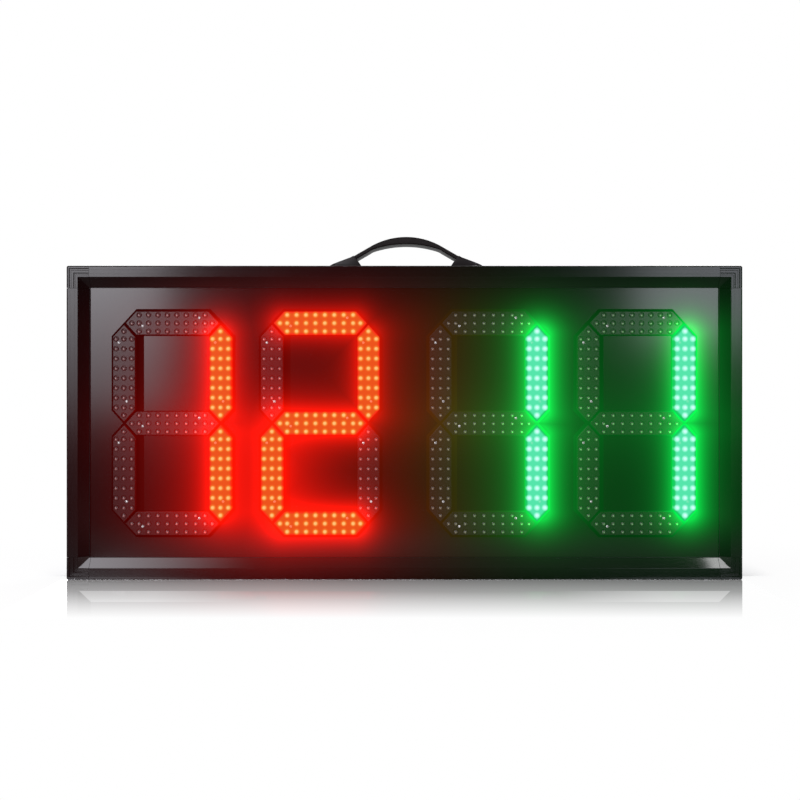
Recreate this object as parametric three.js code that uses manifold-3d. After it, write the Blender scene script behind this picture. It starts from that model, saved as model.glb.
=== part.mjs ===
// Portable four-digit LED substitution and score board, in millimetres with +Z up.
// The display faces -Y, and the origin is the middle of the bottom face that the board stands on.
import * as THREE from "three";
import { mergeVertices } from "three/addons/utils/BufferGeometryUtils.js";
import Module from "manifold-3d";

const wasm = await Module();
wasm.setup();

// Whole board. Depths are measured backwards from the front face of the frame.
const boardWidth = 620;
const boardHeight = 288;
const boardDepth = 50;
const seatGap = 0.3;
const overrun = 4;
const fuseDepth = 0.4;

// Frame extrusion, measured inwards from the outer edge of the board.
const frameWall = 1.4;
const landWidth = 10.5;
const slopeWidth = 9;
const recessDepth = 9;
const tubeWidth = 12;
const edgeRadius = 1.5;
const grooveInset = 3.5;
const groovePitch = 4.2;
const grooveWidth = 1.2;
const railGrooveDepth = 0.3;
const cornerGrooveDepth = 0.9;
const finReach = 5;
const ledgeReach = 8;
const frameWidth = landWidth + slopeWidth;
const tubeInner = tubeWidth - frameWall;

// Digits: four of seven trays each, with margins inside the frame all round.
const digitCount = 4;
const sideMargin = 22.6;
const endMargin = 21.8;
const digitGap = 27.2;
const middleGap = 46.2;
const digitDrop = 0.6;
const digitSpan = boardWidth - 2 * (frameWidth + sideMargin);
const digitWidth = (digitSpan - (digitCount - 2) * digitGap - middleGap) / digitCount;
const digitHeight = boardHeight - 2 * (frameWidth + endMargin);
const digitMiddle = boardHeight / 2 - digitDrop;
const innerDigit = (middleGap + digitWidth) / 2;
const outerDigit = innerDigit + digitWidth + digitGap;
const digitOffsets = [-outerDigit, -innerDigit, innerDigit, outerDigit];
const litSegments = ["bc", "abdeg", "bc", "bc"];

// Places of the seven trays, as shares of the column reach and of the row pitch.
const segmentShares = {
  a: [0, 1],
  b: [1, 0.5],
  c: [1, -0.5],
  d: [0, -1],
  e: [-1, -0.5],
  f: [-1, 0.5],
  g: [0, 0],
};

// Lamp trays: potted hexagonal mouldings, three rows of lamps and one more lamp in each point. The
// margins run from the outer lamps to the edge, and the points of neighbours are cut parallel.
const lampsPerRow = 8;
const lampRows = 3;
const lampRadius = 2.3;
const lampRise = 1.7;
const lampSides = 5;
const trayHeight = 7;
const trayBevel = 0.8;
const trayEndGap = 1.65;
const trayPointShare = 0.91;
const uprightLamps = { rowPitch: 7.15, tipStep: 7, tipMargin: 5.9, edgeMargin: 2.9 };
const levelLamps = { rowPitch: 7.5, tipStep: 6.64, tipMargin: 5.75, edgeMargin: 3.1 };
const columnReach = digitWidth / 2 - trayHalfWidth(uprightLamps);
const rowPitch = digitHeight / 2 - trayHalfWidth(levelLamps);
const uprightTray = traySize(uprightLamps, rowPitch / 2 - trayEndGap, 1 / trayPointShare);
const levelTray = traySize(levelLamps, columnReach - trayEndGap, trayPointShare);
const pegRadius = 3;
const pegLength = 5;
const pegSides = 6;

// Corner blocks: plastic mouldings whose tongues plug into the hollow rails.
const cornerOverlap = 1;
const tongueLength = 25;
const tongueTaper = 1;
const tongueTaperLength = 6;
const cornerSize = frameWidth + cornerOverlap;

// Front panel, held in the channel behind the sloped lip.
const panelThickness = 3;
const panelFront = recessDepth + frameWall + seatGap;
const panelBack = panelFront + panelThickness;
const finFront = panelBack + seatGap;
const panelInset = tubeWidth + seatGap;

// Rear cover, sunk behind the rear rim so that the controls stay inside the depth of the frame.
const coverThickness = 2;
const coverRecess = 4;
const coverBack = boardDepth - coverRecess;
const coverFront = coverBack - coverThickness;
const ledgeBack = coverFront - seatGap;
const coverSeat = coverBack + seatGap;
const insideSeat = coverFront - seatGap;

// Carrying handle: a moulded strap with an arched grip and straight arms, screwed down under two
// end caps. Places outside the grip are measured from its middle.
const handleOffset = 1.6;
const gripRise = 27.9;
const gripGap = 21.2;
const gripTopRadius = 66;
const gripUnderRadius = 97;
const gripSegments = 6;
const strapAngle = THREE.MathUtils.degToRad(30);
const strapThickness = 3.7;
const strapWidth = 26;
const strapEdge = 0.7;
const strapEdgeSegments = 2;
const neckDrop = 1.8;
const neckLength = 8;
const tabLength = 7;
const tabThickness = 1.8;
const capMouthHeight = 10;
const capPeakRise = 0.2;
const capFootReach = 7.6;
const capCheekReach = 4.1;
const capCheekDrop = 4.6;
const capShoulderReach = 2.5;
const capShoulderDrop = 1.2;
const capTipReach = 7.8;
const capTipHeight = 1.2;
const gripEnd = gripTopRadius * Math.sin(strapAngle);
const gripEndHeight = gripRise - gripTopRadius * (1 - Math.cos(strapAngle));
const capMouth = gripEnd + (gripEndHeight - capMouthHeight) / Math.tan(strapAngle);
const tabBend = capMouth + neckLength;
const tabEnd = tabBend + tabLength;
const capTip = tabEnd + capTipReach;
const capWall = 2.2;
const capCornerRadius = 8;
const capCornerSegments = 2;

// Keypad on the rear, under the handle: a bezel with one sprung key for each digit.
const keyPitch = 22;
const keyWidth = 14;
const keyHeight = 12;
const keyRadius = 2;
const keyRise = 1;
const keyFlange = 1.2;
const keyFlangeReach = 1.4;
const keyTravel = 1.2;
const keyDish = 1.1;
const dishSides = 48;
const bezelMargin = 7;
const bezelRise = 2.2;
const bezelRadius = 4;
const collarMargin = 3.5;
const collarDepth = 3.6;
const keySpan = (digitOffsets.length - 1) * keyPitch;
const collarWidth = keySpan + keyWidth + 2 * collarMargin;
const collarHeight = keyHeight + 2 * collarMargin;
const bezelWidth = collarWidth + 2 * bezelMargin;
const bezelHeight = collarHeight + 2 * bezelMargin;

// Control board behind the keypad. Its top edge stays a margin below the ledge of the frame.
const controlBoardMargin = 12.5;
const controlBoardDrop = 32;
const controlBoardWidth = collarWidth + 2 * controlBoardMargin;
const controlBoardHeight = collarHeight + 2 * controlBoardMargin;
const controlHeight = boardHeight - tubeWidth - ledgeReach - controlBoardDrop - controlBoardHeight / 2;
const switchBase = 6;
const plungerRadius = 1.75;
const plungerRise = 1;

// Power rocker switch beside the keypad.
const controlSpacing = 33.5;
const switchOffset = bezelWidth / 2 + controlSpacing;
const switchPocketWidth = 10.8;
const switchPocketHeight = 17;
const switchSideWall = 1.3;
const switchEndWall = 0.9;
const switchFlangeReach = 1.1;
const switchFlangeRise = 2;
const switchBodyWidth = switchPocketWidth + 2 * switchSideWall;
const switchBodyHeight = switchPocketHeight + 2 * switchEndWall;
const switchBodyDepth = 15;
const bladeWidth = 6.3;
const bladeThickness = 0.8;
const bladeLength = 6;
const bladePitch = 9;
const rockerClearance = 0.8;
const rockerHalf = switchPocketHeight / 2 - rockerClearance;
const rockerEndRise = 3;
const rockerMidRise = 1.6;
const rockerSkirt = 0.6;
const rockerHubRadius = 4.4;
const rockerHubSegments = 4;
const rockerTilt = THREE.MathUtils.degToRad(10);
const rockerAxisSink = 1.3;
const switchPocketDepth = rockerAxisSink + rockerHubRadius + rockerClearance;
const rockerPinRadius = 1.1;
const rockerPinReach = 0.6;
const pinSides = 8;

// Charging socket on the other side of the keypad.
const socketOffset = -switchOffset;
const socketFlangeRadius = 7.5;
const socketFlangeRise = 2;
const socketBarrelRadius = 5.6;
const socketDepth = 15;
const socketBoreRadius = 2.8;
const socketBoreDepth = 10;
const socketPinRadius = 1.05;
const socketPinSink = 1;
const roundSides = 12;

// Driver boards behind the digits, and parts that all the boards carry.
const driverBoardWidth = 60;
const driverBoardHeight = 90;
const boardThickness = 1.6;
const spacerRadius = 3;
const spacerLength = 4;
const spacerInset = 6;
const spacerSides = 6;
const chipLength = 12;
const chipWidth = 8;
const chipHeight = 2.2;
const chipPitch = 24;
const headerLength = 44;
const headerWidth = 6;
const headerHeight = 3.6;
const headerInset = 12;

// Battery pack and its two straps, low in the case.
const cellRadius = 9.2;
const cellGap = 0.2;
const cellPitch = 2 * cellRadius + cellGap;
const cellCount = 3;
const cellSegments = 3;
const cellWebAngle = THREE.MathUtils.degToRad(50);
const packLength = 134;
const packMargin = 7.7;
const strapMetal = 1.2;
const packStrapWidth = 14;
const packStrapFoot = 9;
const packStrapPitch = 70;
const packReach = ((cellCount - 1) * cellPitch) / 2 + cellRadius;
const packStrapReach = packReach + seatGap + strapMetal + packStrapFoot;
const packHeight = tubeWidth + ledgeReach + packMargin + packStrapReach;

const finishes = {
  blackAluminium: { color: 0x1d1d20, roughness: 0.36, metalness: 0.85 },
  blackMoulding: { color: 0x202022, roughness: 0.45, metalness: 0 },
  panelBlack: { color: 0x121214, roughness: 0.22, metalness: 0.1 },
  trayBlack: { color: 0x2a2a2c, roughness: 0.5, metalness: 0 },
  litRed: { color: 0xff3a14, roughness: 0.5, metalness: 0 },
  litGreen: { color: 0x22e67a, roughness: 0.5, metalness: 0 },
  strapRubber: { color: 0x1c1614, roughness: 0.7, metalness: 0 },
  coverBlack: { color: 0x1a1a1c, roughness: 0.5, metalness: 0.4 },
  boardGreen: { color: 0x1d5a33, roughness: 0.5, metalness: 0 },
  shrinkBlue: { color: 0x1f4f9a, roughness: 0.35, metalness: 0 },
  zincSteel: { color: 0xb6b8ba, roughness: 0.35, metalness: 1 },
  keyRubber: { color: 0x3a3c40, roughness: 0.75, metalness: 0 },
  rockerRed: { color: 0xb81f1a, roughness: 0.35, metalness: 0 },
};

const scoreboard = new THREE.Group();

function addPiece(name, geometry, finish, place = new THREE.Vector3(), turn = new THREE.Euler()) {
  const mesh = new THREE.Mesh(geometry, new THREE.MeshStandardMaterial(finish));
  mesh.name = name;
  mesh.position.copy(place);
  mesh.rotation.copy(turn);
  scoreboard.add(mesh);
}

// Y of a depth measured backwards from the front face.
function atDepth(depth) {
  return depth - boardDepth / 2;
}

function trayHalfWidth(lamps) {
  return ((lampRows - 1) / 2) * lamps.rowPitch + lamps.edgeMargin;
}

// Size of a tray, with the lamps spread along it and its point as a share of its half width.
function traySize(lamps, halfLength, pointShare) {
  const halfWidth = trayHalfWidth(lamps);
  const pitch = (2 * (halfLength - lamps.tipStep - lamps.tipMargin)) / (lampsPerRow - 1);
  return { ...lamps, pitch, halfWidth, halfLength, pointLength: halfWidth * pointShare };
}

// A closed triangle mesh as a solid that can be joined and cut.
function toSolid(geometry) {
  const bare = geometry.clone();
  bare.deleteAttribute("normal");
  bare.deleteAttribute("uv");
  const merged = mergeVertices(bare);
  const triVerts = Uint32Array.from(merged.index.array);
  const vertProperties = merged.attributes.position.array;
  return new wasm.Manifold(new wasm.Mesh({ numProp: 3, vertProperties, triVerts }));
}

function toGeometry(solid) {
  const mesh = solid.getMesh();
  const geometry = new THREE.BufferGeometry();
  geometry.setAttribute("position", new THREE.BufferAttribute(Float32Array.from(mesh.vertProperties), 3));
  geometry.setIndex(new THREE.BufferAttribute(Uint32Array.from(mesh.triVerts), 1));
  geometry.computeVertexNormals();
  return geometry;
}

function joined(geometries) {
  const solids = geometries.map(toSolid);
  return toGeometry(solids.reduce((whole, next) => whole.add(next)));
}

function cutBy(geometry, cutters) {
  const tools = cutters.map(toSolid);
  return toGeometry(tools.reduce((whole, cutter) => whole.subtract(cutter), toSolid(geometry)));
}

// A closed body through rings of equally many points. The outline is one ring seen along the body,
// and its triangles close both ends.
function loft(rings, outline) {
  const count = outline.length;
  const index = [];
  for (let step = 1; step < rings.length; step += 1) {
    for (let point = 0; point < count; point += 1) {
      const next = (point + 1) % count;
      const [near, far] = [(step - 1) * count, step * count];
      index.push(near + point, near + next, far + next, near + point, far + next, far + point);
    }
  }
  const last = (rings.length - 1) * count;
  for (const [a, b, c] of THREE.ShapeUtils.triangulateShape(outline, [])) {
    index.push(a, c, b, last + a, last + b, last + c);
  }
  const geometry = new THREE.BufferGeometry().setFromPoints(rings.flat());
  geometry.setIndex(index);
  return facingOut(geometry);
}

// Turns every triangle round if the body came out inside out.
function facingOut(geometry) {
  const [index, position] = [geometry.index.array, geometry.attributes.position];
  const corner = (at) => new THREE.Vector3().fromBufferAttribute(position, index[at]);
  let volume = 0;
  for (let at = 0; at < index.length; at += 3) {
    volume += corner(at).dot(corner(at + 1).cross(corner(at + 2)));
  }
  if (volume < 0) {
    for (let at = 0; at < index.length; at += 3) {
      [index[at], index[at + 1]] = [index[at + 1], index[at]];
    }
  }
  geometry.computeVertexNormals();
  return geometry;
}

// A box between two depths, centred on x and z.
function block(width, height, front, back, x = 0, z = 0) {
  const geometry = new THREE.BoxGeometry(width, back - front, height);
  return geometry.translate(x, atDepth((front + back) / 2), z);
}

// A shape drawn in x and z, carried from one depth to another.
function carried(shape, front, back, segments = 1) {
  const options = { depth: back - front, bevelEnabled: false, curveSegments: segments };
  const geometry = new THREE.ExtrudeGeometry(shape, options);
  geometry.rotateX(Math.PI / 2);
  return geometry.translate(0, atDepth(back), 0);
}

// A round bar along the depth.
function bar(radius, sides, front, back, x = 0, z = 0) {
  const geometry = new THREE.CylinderGeometry(radius, radius, back - front, sides);
  return geometry.translate(x, atDepth((front + back) / 2), z);
}

function roundedRectangle(width, height, radius) {
  const [right, top] = [width / 2 - radius, height / 2 - radius];
  const quarter = Math.PI / 2;
  const shape = new THREE.Shape();
  shape.absarc(right, top, radius, 0, quarter);
  shape.absarc(-right, top, radius, quarter, 2 * quarter);
  shape.absarc(-right, -top, radius, 2 * quarter, 3 * quarter);
  shape.absarc(right, -top, radius, 3 * quarter, 4 * quarter);
  return shape;
}

// Section of the frame: x is measured inwards and y backwards. It has the flat land with its two
// grooves, the sloped lip, the channel for the front panel and the ledge for the rear cover.
function frameSection(grooveDepth) {
  const section = new THREE.Shape();
  section.absarc(edgeRadius, edgeRadius, edgeRadius, Math.PI, 1.5 * Math.PI);
  for (const centre of [grooveInset, grooveInset + groovePitch]) {
    section.lineTo(centre - grooveWidth / 2, 0);
    section.lineTo(centre - grooveWidth / 2, grooveDepth);
    section.lineTo(centre + grooveWidth / 2, grooveDepth);
    section.lineTo(centre + grooveWidth / 2, 0);
  }
  section.lineTo(landWidth, 0);
  section.lineTo(frameWidth, recessDepth);
  section.lineTo(frameWidth, recessDepth + frameWall);
  section.lineTo(tubeWidth, recessDepth + frameWall);
  section.lineTo(tubeWidth, finFront);
  section.lineTo(tubeWidth + finReach, finFront);
  section.lineTo(tubeWidth + finReach, finFront + frameWall);
  section.lineTo(tubeWidth, finFront + frameWall);
  section.lineTo(tubeWidth, ledgeBack - frameWall);
  section.lineTo(tubeWidth + ledgeReach, ledgeBack - frameWall);
  section.lineTo(tubeWidth + ledgeReach, ledgeBack);
  section.lineTo(tubeWidth, ledgeBack);
  section.lineTo(tubeWidth, boardDepth);
  section.absarc(edgeRadius, boardDepth - edgeRadius, edgeRadius, Math.PI / 2, Math.PI);
  return section;
}

// Hollows of the extruded rail: the box tube for the tongues and the chamber behind the lip.
function railHollows() {
  const tube = new THREE.Path();
  tube.moveTo(frameWall, frameWall);
  tube.lineTo(tubeInner, frameWall);
  tube.lineTo(tubeInner, boardDepth - frameWall);
  tube.lineTo(frameWall, boardDepth - frameWall);
  const slope = recessDepth / slopeWidth;
  const lipThickness = frameWall * Math.hypot(1, slope);
  const chamber = new THREE.Path();
  chamber.moveTo(tubeWidth, (tubeWidth - landWidth) * slope + lipThickness);
  chamber.lineTo(landWidth + (recessDepth - lipThickness) / slope, recessDepth);
  chamber.lineTo(tubeWidth, recessDepth);
  return [tube, chamber];
}

// A rail along +X from the outer corner of the board, cut square at both corner blocks.
function rail(sideLength) {
  const section = frameSection(railGrooveDepth);
  section.holes = railHollows();
  const start = cornerSize + seatGap;
  const geometry = new THREE.ExtrudeGeometry(section, {
    depth: sideLength - 2 * start,
    bevelEnabled: false,
    curveSegments: 1,
  });
  const inwards = new THREE.Vector3(0, 0, 1);
  const backwards = new THREE.Vector3(0, 1, 0);
  const along = new THREE.Vector3(-1, 0, 0);
  geometry.applyMatrix4(new THREE.Matrix4().makeBasis(inwards, backwards, along));
  return geometry.translate(sideLength - start, 0, 0);
}

// A tongue along +X with a tapered lead-in, a clearance smaller than the hollow of the rail.
function tongue() {
  const low = frameWall + seatGap;
  const [high, back] = [tubeInner - seatGap, boardDepth - frameWall - seatGap];
  const ringAt = (x, inset) => [
    new THREE.Vector3(x, low + inset, low + inset),
    new THREE.Vector3(x, back - inset, low + inset),
    new THREE.Vector3(x, back - inset, high - inset),
    new THREE.Vector3(x, low + inset, high - inset),
  ];
  const rings = [
    ringAt(cornerSize - fuseDepth, 0),
    ringAt(cornerSize + tongueLength - tongueTaperLength, 0),
    ringAt(cornerSize + tongueLength, tongueTaper),
  ];
  return loft(rings, rings[0].map((point) => new THREE.Vector2(point.y, point.z)));
}

// Corner block: the frame section carried round the corner with a mitre, and its two tongues.
function cornerBlock() {
  const outline = frameSection(cornerGrooveDepth).getPoints(1);
  const rings = [
    outline.map((point) => new THREE.Vector3(cornerSize, point.y, point.x)),
    outline.map((point) => new THREE.Vector3(point.x, point.y, point.x)),
    outline.map((point) => new THREE.Vector3(point.x, point.y, cornerSize)),
  ];
  const swap = new THREE.Matrix4().makeBasis(
    new THREE.Vector3(0, 0, 1),
    new THREE.Vector3(0, 1, 0),
    new THREE.Vector3(1, 0, 0),
  );
  const upwards = facingOut(tongue().applyMatrix4(swap));
  return joined([loft(rings, outline), tongue(), upwards]);
}

function addFrame() {
  const [right, top, quarter] = [boardWidth / 2, boardHeight, Math.PI / 2];
  const sides = [
    { side: "bottom", corner: "bottom_left", x: -right, z: 0, turn: 0, length: boardWidth },
    { side: "right", corner: "bottom_right", x: right, z: 0, turn: -quarter, length: boardHeight },
    { side: "top", corner: "top_right", x: right, z: top, turn: 2 * quarter, length: boardWidth },
    { side: "left", corner: "top_left", x: -right, z: top, turn: quarter, length: boardHeight },
  ];
  for (const place of sides) {
    addTurned(`frame_rail_${place.side}`, rail(place.length), finishes.blackAluminium, place);
    addTurned(`corner_block_${place.corner}`, cornerBlock(), finishes.blackMoulding, place);
  }
}

// Each side is drawn from the bottom left corner and turned about the depth axis at its own corner.
function addTurned(name, geometry, finish, { x, z, turn }) {
  addPiece(name, geometry, finish, new THREE.Vector3(x, atDepth(0), z), new THREE.Euler(0, turn, 0));
}

function trayPlaces() {
  return digitOffsets.flatMap((offset, digit) =>
    Object.entries(segmentShares).map(([letter, [column, row]]) => ({
      name: `digit_${digit + 1}_segment_${letter}`,
      upright: column !== 0,
      x: offset + column * columnReach,
      z: digitMiddle + row * rowPitch,
      lit: litSegments[digit].includes(letter),
      red: digit < digitOffsets.length / 2,
    })),
  );
}

// Outline of a tray moved in by an inset, as along and across places.
function trayOutline(tray, inset) {
  const skew = Math.hypot(tray.pointLength, tray.halfWidth) / tray.halfWidth;
  const tip = tray.halfLength - inset * skew;
  const side = tray.halfWidth - inset;
  const flat = tip - tray.pointLength * (side / tray.halfWidth);
  return [
    [tip, 0],
    [flat, side],
    [-flat, side],
    [-tip, 0],
    [-flat, -side],
    [flat, -side],
  ];
}

function lampPlaces(tray) {
  const middle = (lampsPerRow - 1) / 2;
  const places = [];
  for (let row = 0; row < lampRows; row += 1) {
    for (let lamp = 0; lamp < lampsPerRow; lamp += 1) {
      places.push([(lamp - middle) * tray.pitch, (row - (lampRows - 1) / 2) * tray.rowPitch]);
    }
  }
  const tip = middle * tray.pitch + tray.tipStep;
  return [...places, [tip, 0], [-tip, 0]];
}

// One lamp tray around its own centre, its back at y 0, with its lamps and its locating peg.
function lampTray(tray, upright) {
  const place = ([along, across], y) =>
    upright ? new THREE.Vector3(across, y, along) : new THREE.Vector3(along, y, across);
  const levels = [
    [0, 0],
    [0, trayBevel - trayHeight],
    [trayBevel, -trayHeight],
  ];
  const rings = levels.map(([inset, y]) => trayOutline(tray, inset).map((point) => place(point, y)));
  const outline = trayOutline(tray, 0).map(([along, across]) => new THREE.Vector2(along, across));
  const lamps = lampPlaces(tray).map((point) => {
    const lamp = new THREE.ConeGeometry(lampRadius, lampRise + fuseDepth, lampSides);
    lamp.rotateX(Math.PI);
    const centre = place(point, fuseDepth - trayHeight - (lampRise + fuseDepth) / 2);
    return lamp.translate(centre.x, centre.y, centre.z);
  });
  const peg = new THREE.CylinderGeometry(pegRadius, pegRadius, pegLength + fuseDepth, pegSides);
  peg.translate(0, (pegLength - fuseDepth) / 2, 0);
  return joined([loft(rings, outline), peg, ...lamps]);
}

function addDigits() {
  const forms = { upright: lampTray(uprightTray, true), level: lampTray(levelTray, false) };
  const litFinish = (red) => (red ? finishes.litRed : finishes.litGreen);
  for (const tray of trayPlaces()) {
    const form = tray.upright ? forms.upright : forms.level;
    const finish = tray.lit ? litFinish(tray.red) : finishes.trayBlack;
    addPiece(tray.name, form, finish, new THREE.Vector3(tray.x, atDepth(panelFront - seatGap), tray.z));
  }
}

// A sheet that fills the frame between its tubes.
function sheet(front, back) {
  return block(boardWidth - 2 * panelInset, boardHeight - 2 * panelInset, front, back, 0, boardHeight / 2);
}

// Front panel with a hole for the peg and wires of every tray.
function addPanel() {
  const panel = sheet(panelFront, panelBack);
  const holes = trayPlaces().map(({ x, z }) =>
    bar(pegRadius + seatGap, pegSides, panelFront - overrun, panelBack + overrun, x, z),
  );
  addPiece("front_panel", cutBy(panel, holes), finishes.panelBlack);
}

// Rear cover with the cut-outs of the keypad, the power switch and the charging socket.
function addRearCover() {
  const cover = sheet(coverFront, coverBack);
  const [front, back] = [coverFront - overrun, coverBack + overrun];
  const clear = 2 * seatGap;
  const keypadHole = roundedRectangle(collarWidth + clear, collarHeight + clear, keyRadius + seatGap);
  const cutters = [
    carried(keypadHole, front, back).translate(0, 0, controlHeight),
    block(switchBodyWidth + clear, switchBodyHeight + clear, front, back, switchOffset, controlHeight),
    bar(socketBarrelRadius + seatGap, roundSides, front, back, socketOffset, controlHeight),
  ];
  addPiece("rear_cover", cutBy(cover, cutters), finishes.coverBlack);
}

function keyPlaces() {
  return digitOffsets.map((_, key) => (key - (digitOffsets.length - 1) / 2) * keyPitch);
}

// Keypad bezel: a rounded plate on the cover, a collar through it, and one hole for each key.
function addKeypad() {
  const bezelBack = coverSeat + bezelRise;
  const collarFront = coverSeat - collarDepth;
  const plate = carried(roundedRectangle(bezelWidth, bezelHeight, bezelRadius), coverSeat, bezelBack);
  const collarOutline = roundedRectangle(collarWidth, collarHeight, keyRadius);
  const sleeve = carried(collarOutline, collarFront, coverSeat + fuseDepth);
  const keyHole = roundedRectangle(keyWidth + 2 * seatGap, keyHeight + 2 * seatGap, keyRadius + seatGap);
  const hole = carried(keyHole, collarFront - overrun, bezelBack + overrun);
  const holes = keyPlaces().map((x) => hole.clone().translate(x, 0, 0));
  const bezel = cutBy(joined([plate, sleeve]), holes);
  addPiece("keypad_bezel", bezel, finishes.blackMoulding, new THREE.Vector3(0, 0, controlHeight));
  const form = digitKey(collarFront - seatGap, bezelBack + keyRise);
  keyPlaces().forEach((x, key) => {
    const place = new THREE.Vector3(x, 0, controlHeight);
    addPiece(`digit_key_${key + 1}`, form, finishes.keyRubber, place);
  });
}

// A key: rounded cap with a finger dish, and a flange that the collar stops.
function digitKey(flangeBack, capBack) {
  const cap = carried(roundedRectangle(keyWidth, keyHeight, keyRadius), flangeBack - fuseDepth, capBack);
  const [width, height] = [keyWidth + 2 * keyFlangeReach, keyHeight + 2 * keyFlangeReach];
  const flange = carried(roundedRectangle(width, height, keyRadius), flangeBack - keyFlange, flangeBack);
  const dishRadius = (keyWidth * keyWidth) / (8 * keyDish);
  const dish = new THREE.CylinderGeometry(dishRadius, dishRadius, keyHeight + 2 * overrun, dishSides);
  dish.rotateX(Math.PI / 2);
  dish.translate(0, atDepth(capBack) + dishRadius - keyDish, 0);
  return cutBy(joined([cap, flange]), [dish]);
}

// Switch housing: flange, body behind the cover, pocket and pivot holes for the rocker, two blades.
function addPowerSwitch() {
  const flangeBack = coverSeat + switchFlangeRise;
  const bodyFront = coverSeat - switchBodyDepth;
  const axis = coverSeat - rockerAxisSink;
  const reach = 2 * switchFlangeReach;
  const pieces = [
    block(switchBodyWidth + reach, switchBodyHeight + reach, coverSeat, flangeBack),
    block(switchBodyWidth, switchBodyHeight, bodyFront, coverSeat + fuseDepth),
  ];
  for (const side of [-1, 1]) {
    const z = (side * bladePitch) / 2;
    pieces.push(block(bladeWidth, bladeThickness, bodyFront - bladeLength, bodyFront + fuseDepth, 0, z));
  }
  const pivot = new THREE.CylinderGeometry(
    rockerPinRadius + seatGap,
    rockerPinRadius + seatGap,
    switchPocketWidth + 2 * (rockerPinReach + seatGap),
    pinSides,
  );
  pivot.rotateZ(Math.PI / 2).translate(0, atDepth(axis), 0);
  const pocketFront = coverSeat - switchPocketDepth;
  const pocket = block(switchPocketWidth, switchPocketHeight, pocketFront, flangeBack + overrun);
  const place = new THREE.Vector3(switchOffset, 0, controlHeight);
  addPiece("power_switch_housing", cutBy(joined(pieces), [pocket, pivot]), finishes.blackMoulding, place);
  addPiece("power_rocker", rocker(), finishes.rockerRed, place.clone().setY(atDepth(axis)));
}

// Rocker around its pivot: a hub, a two-way sloped top and two pivot pins, tipped to its on side.
function rocker() {
  const side = new THREE.Shape();
  const hubMeet = Math.asin(rockerSkirt / rockerHubRadius);
  side.moveTo(rockerEndRise, -rockerHalf);
  side.lineTo(rockerMidRise, 0);
  side.lineTo(rockerEndRise, rockerHalf);
  side.lineTo(-rockerSkirt, rockerHalf);
  side.absarc(0, 0, rockerHubRadius, Math.PI / 2 + hubMeet, 1.5 * Math.PI - hubMeet);
  side.lineTo(-rockerSkirt, -rockerHalf);
  const width = switchPocketWidth - 2 * seatGap;
  const options = { depth: width, bevelEnabled: false, curveSegments: rockerHubSegments };
  const body = new THREE.ExtrudeGeometry(side, options);
  body.translate(0, 0, -width / 2);
  const pinSpan = switchPocketWidth + 2 * rockerPinReach;
  const pin = new THREE.CylinderGeometry(rockerPinRadius, rockerPinRadius, pinSpan, pinSides);
  pin.rotateX(Math.PI / 2);
  const outwards = new THREE.Vector3(0, 1, 0);
  const upwards = new THREE.Vector3(0, 0, 1);
  const across = new THREE.Vector3(1, 0, 0);
  const tipped = joined([body, pin]).applyMatrix4(new THREE.Matrix4().makeBasis(outwards, upwards, across));
  return tipped.rotateX(rockerTilt);
}

// Charging socket turned about the depth axis: flange, threaded barrel, bore and centre pin.
function addChargeSocket() {
  const seat = coverSeat;
  const profile = [
    [0, seat - socketDepth],
    [socketBarrelRadius, seat - socketDepth],
    [socketBarrelRadius, seat],
    [socketFlangeRadius, seat],
    [socketFlangeRadius, seat + socketFlangeRise],
    [socketBoreRadius, seat + socketFlangeRise],
    [socketBoreRadius, seat + socketFlangeRise - socketBoreDepth],
    [socketPinRadius, seat + socketFlangeRise - socketBoreDepth],
    [socketPinRadius, seat + socketFlangeRise - socketPinSink],
    [0, seat + socketFlangeRise - socketPinSink],
  ];
  const socket = new THREE.LatheGeometry(
    profile.map(([radius, depth]) => new THREE.Vector2(radius, atDepth(depth))),
    roundSides,
  );
  const place = new THREE.Vector3(socketOffset, 0, controlHeight);
  addPiece("charge_socket", socket, finishes.blackMoulding, place);
}

function spacers(width, height, front, back) {
  const [right, top] = [width / 2 - spacerInset, height / 2 - spacerInset];
  const corners = [[-right, -top], [right, -top], [right, top], [-right, top]];
  return corners.map(([x, z]) => bar(spacerRadius, spacerSides, front, back, x, z));
}

// One driver board behind each digit, standing off the back of the front panel.
function addDriverBoards() {
  const seat = panelBack + seatGap;
  const boardFront = seat + spacerLength;
  const boardBack = boardFront + boardThickness;
  const chipBack = boardBack + chipHeight;
  const header = driverBoardHeight / 2 - headerInset;
  const board = joined([
    block(driverBoardWidth, driverBoardHeight, boardFront, boardBack),
    ...spacers(driverBoardWidth, driverBoardHeight, seat, boardFront + fuseDepth),
    block(chipLength, chipWidth, boardBack - fuseDepth, chipBack, -chipPitch / 2),
    block(chipLength, chipWidth, boardBack - fuseDepth, chipBack, chipPitch / 2),
    block(headerLength, headerWidth, boardBack - fuseDepth, boardBack + headerHeight, 0, header),
    block(headerLength, headerWidth, boardBack - fuseDepth, boardBack + headerHeight, 0, -header),
  ]);
  digitOffsets.forEach((x, digit) => {
    addPiece(`driver_board_${digit + 1}`, board, finishes.boardGreen, new THREE.Vector3(x, 0, digitMiddle));
  });
}

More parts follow.
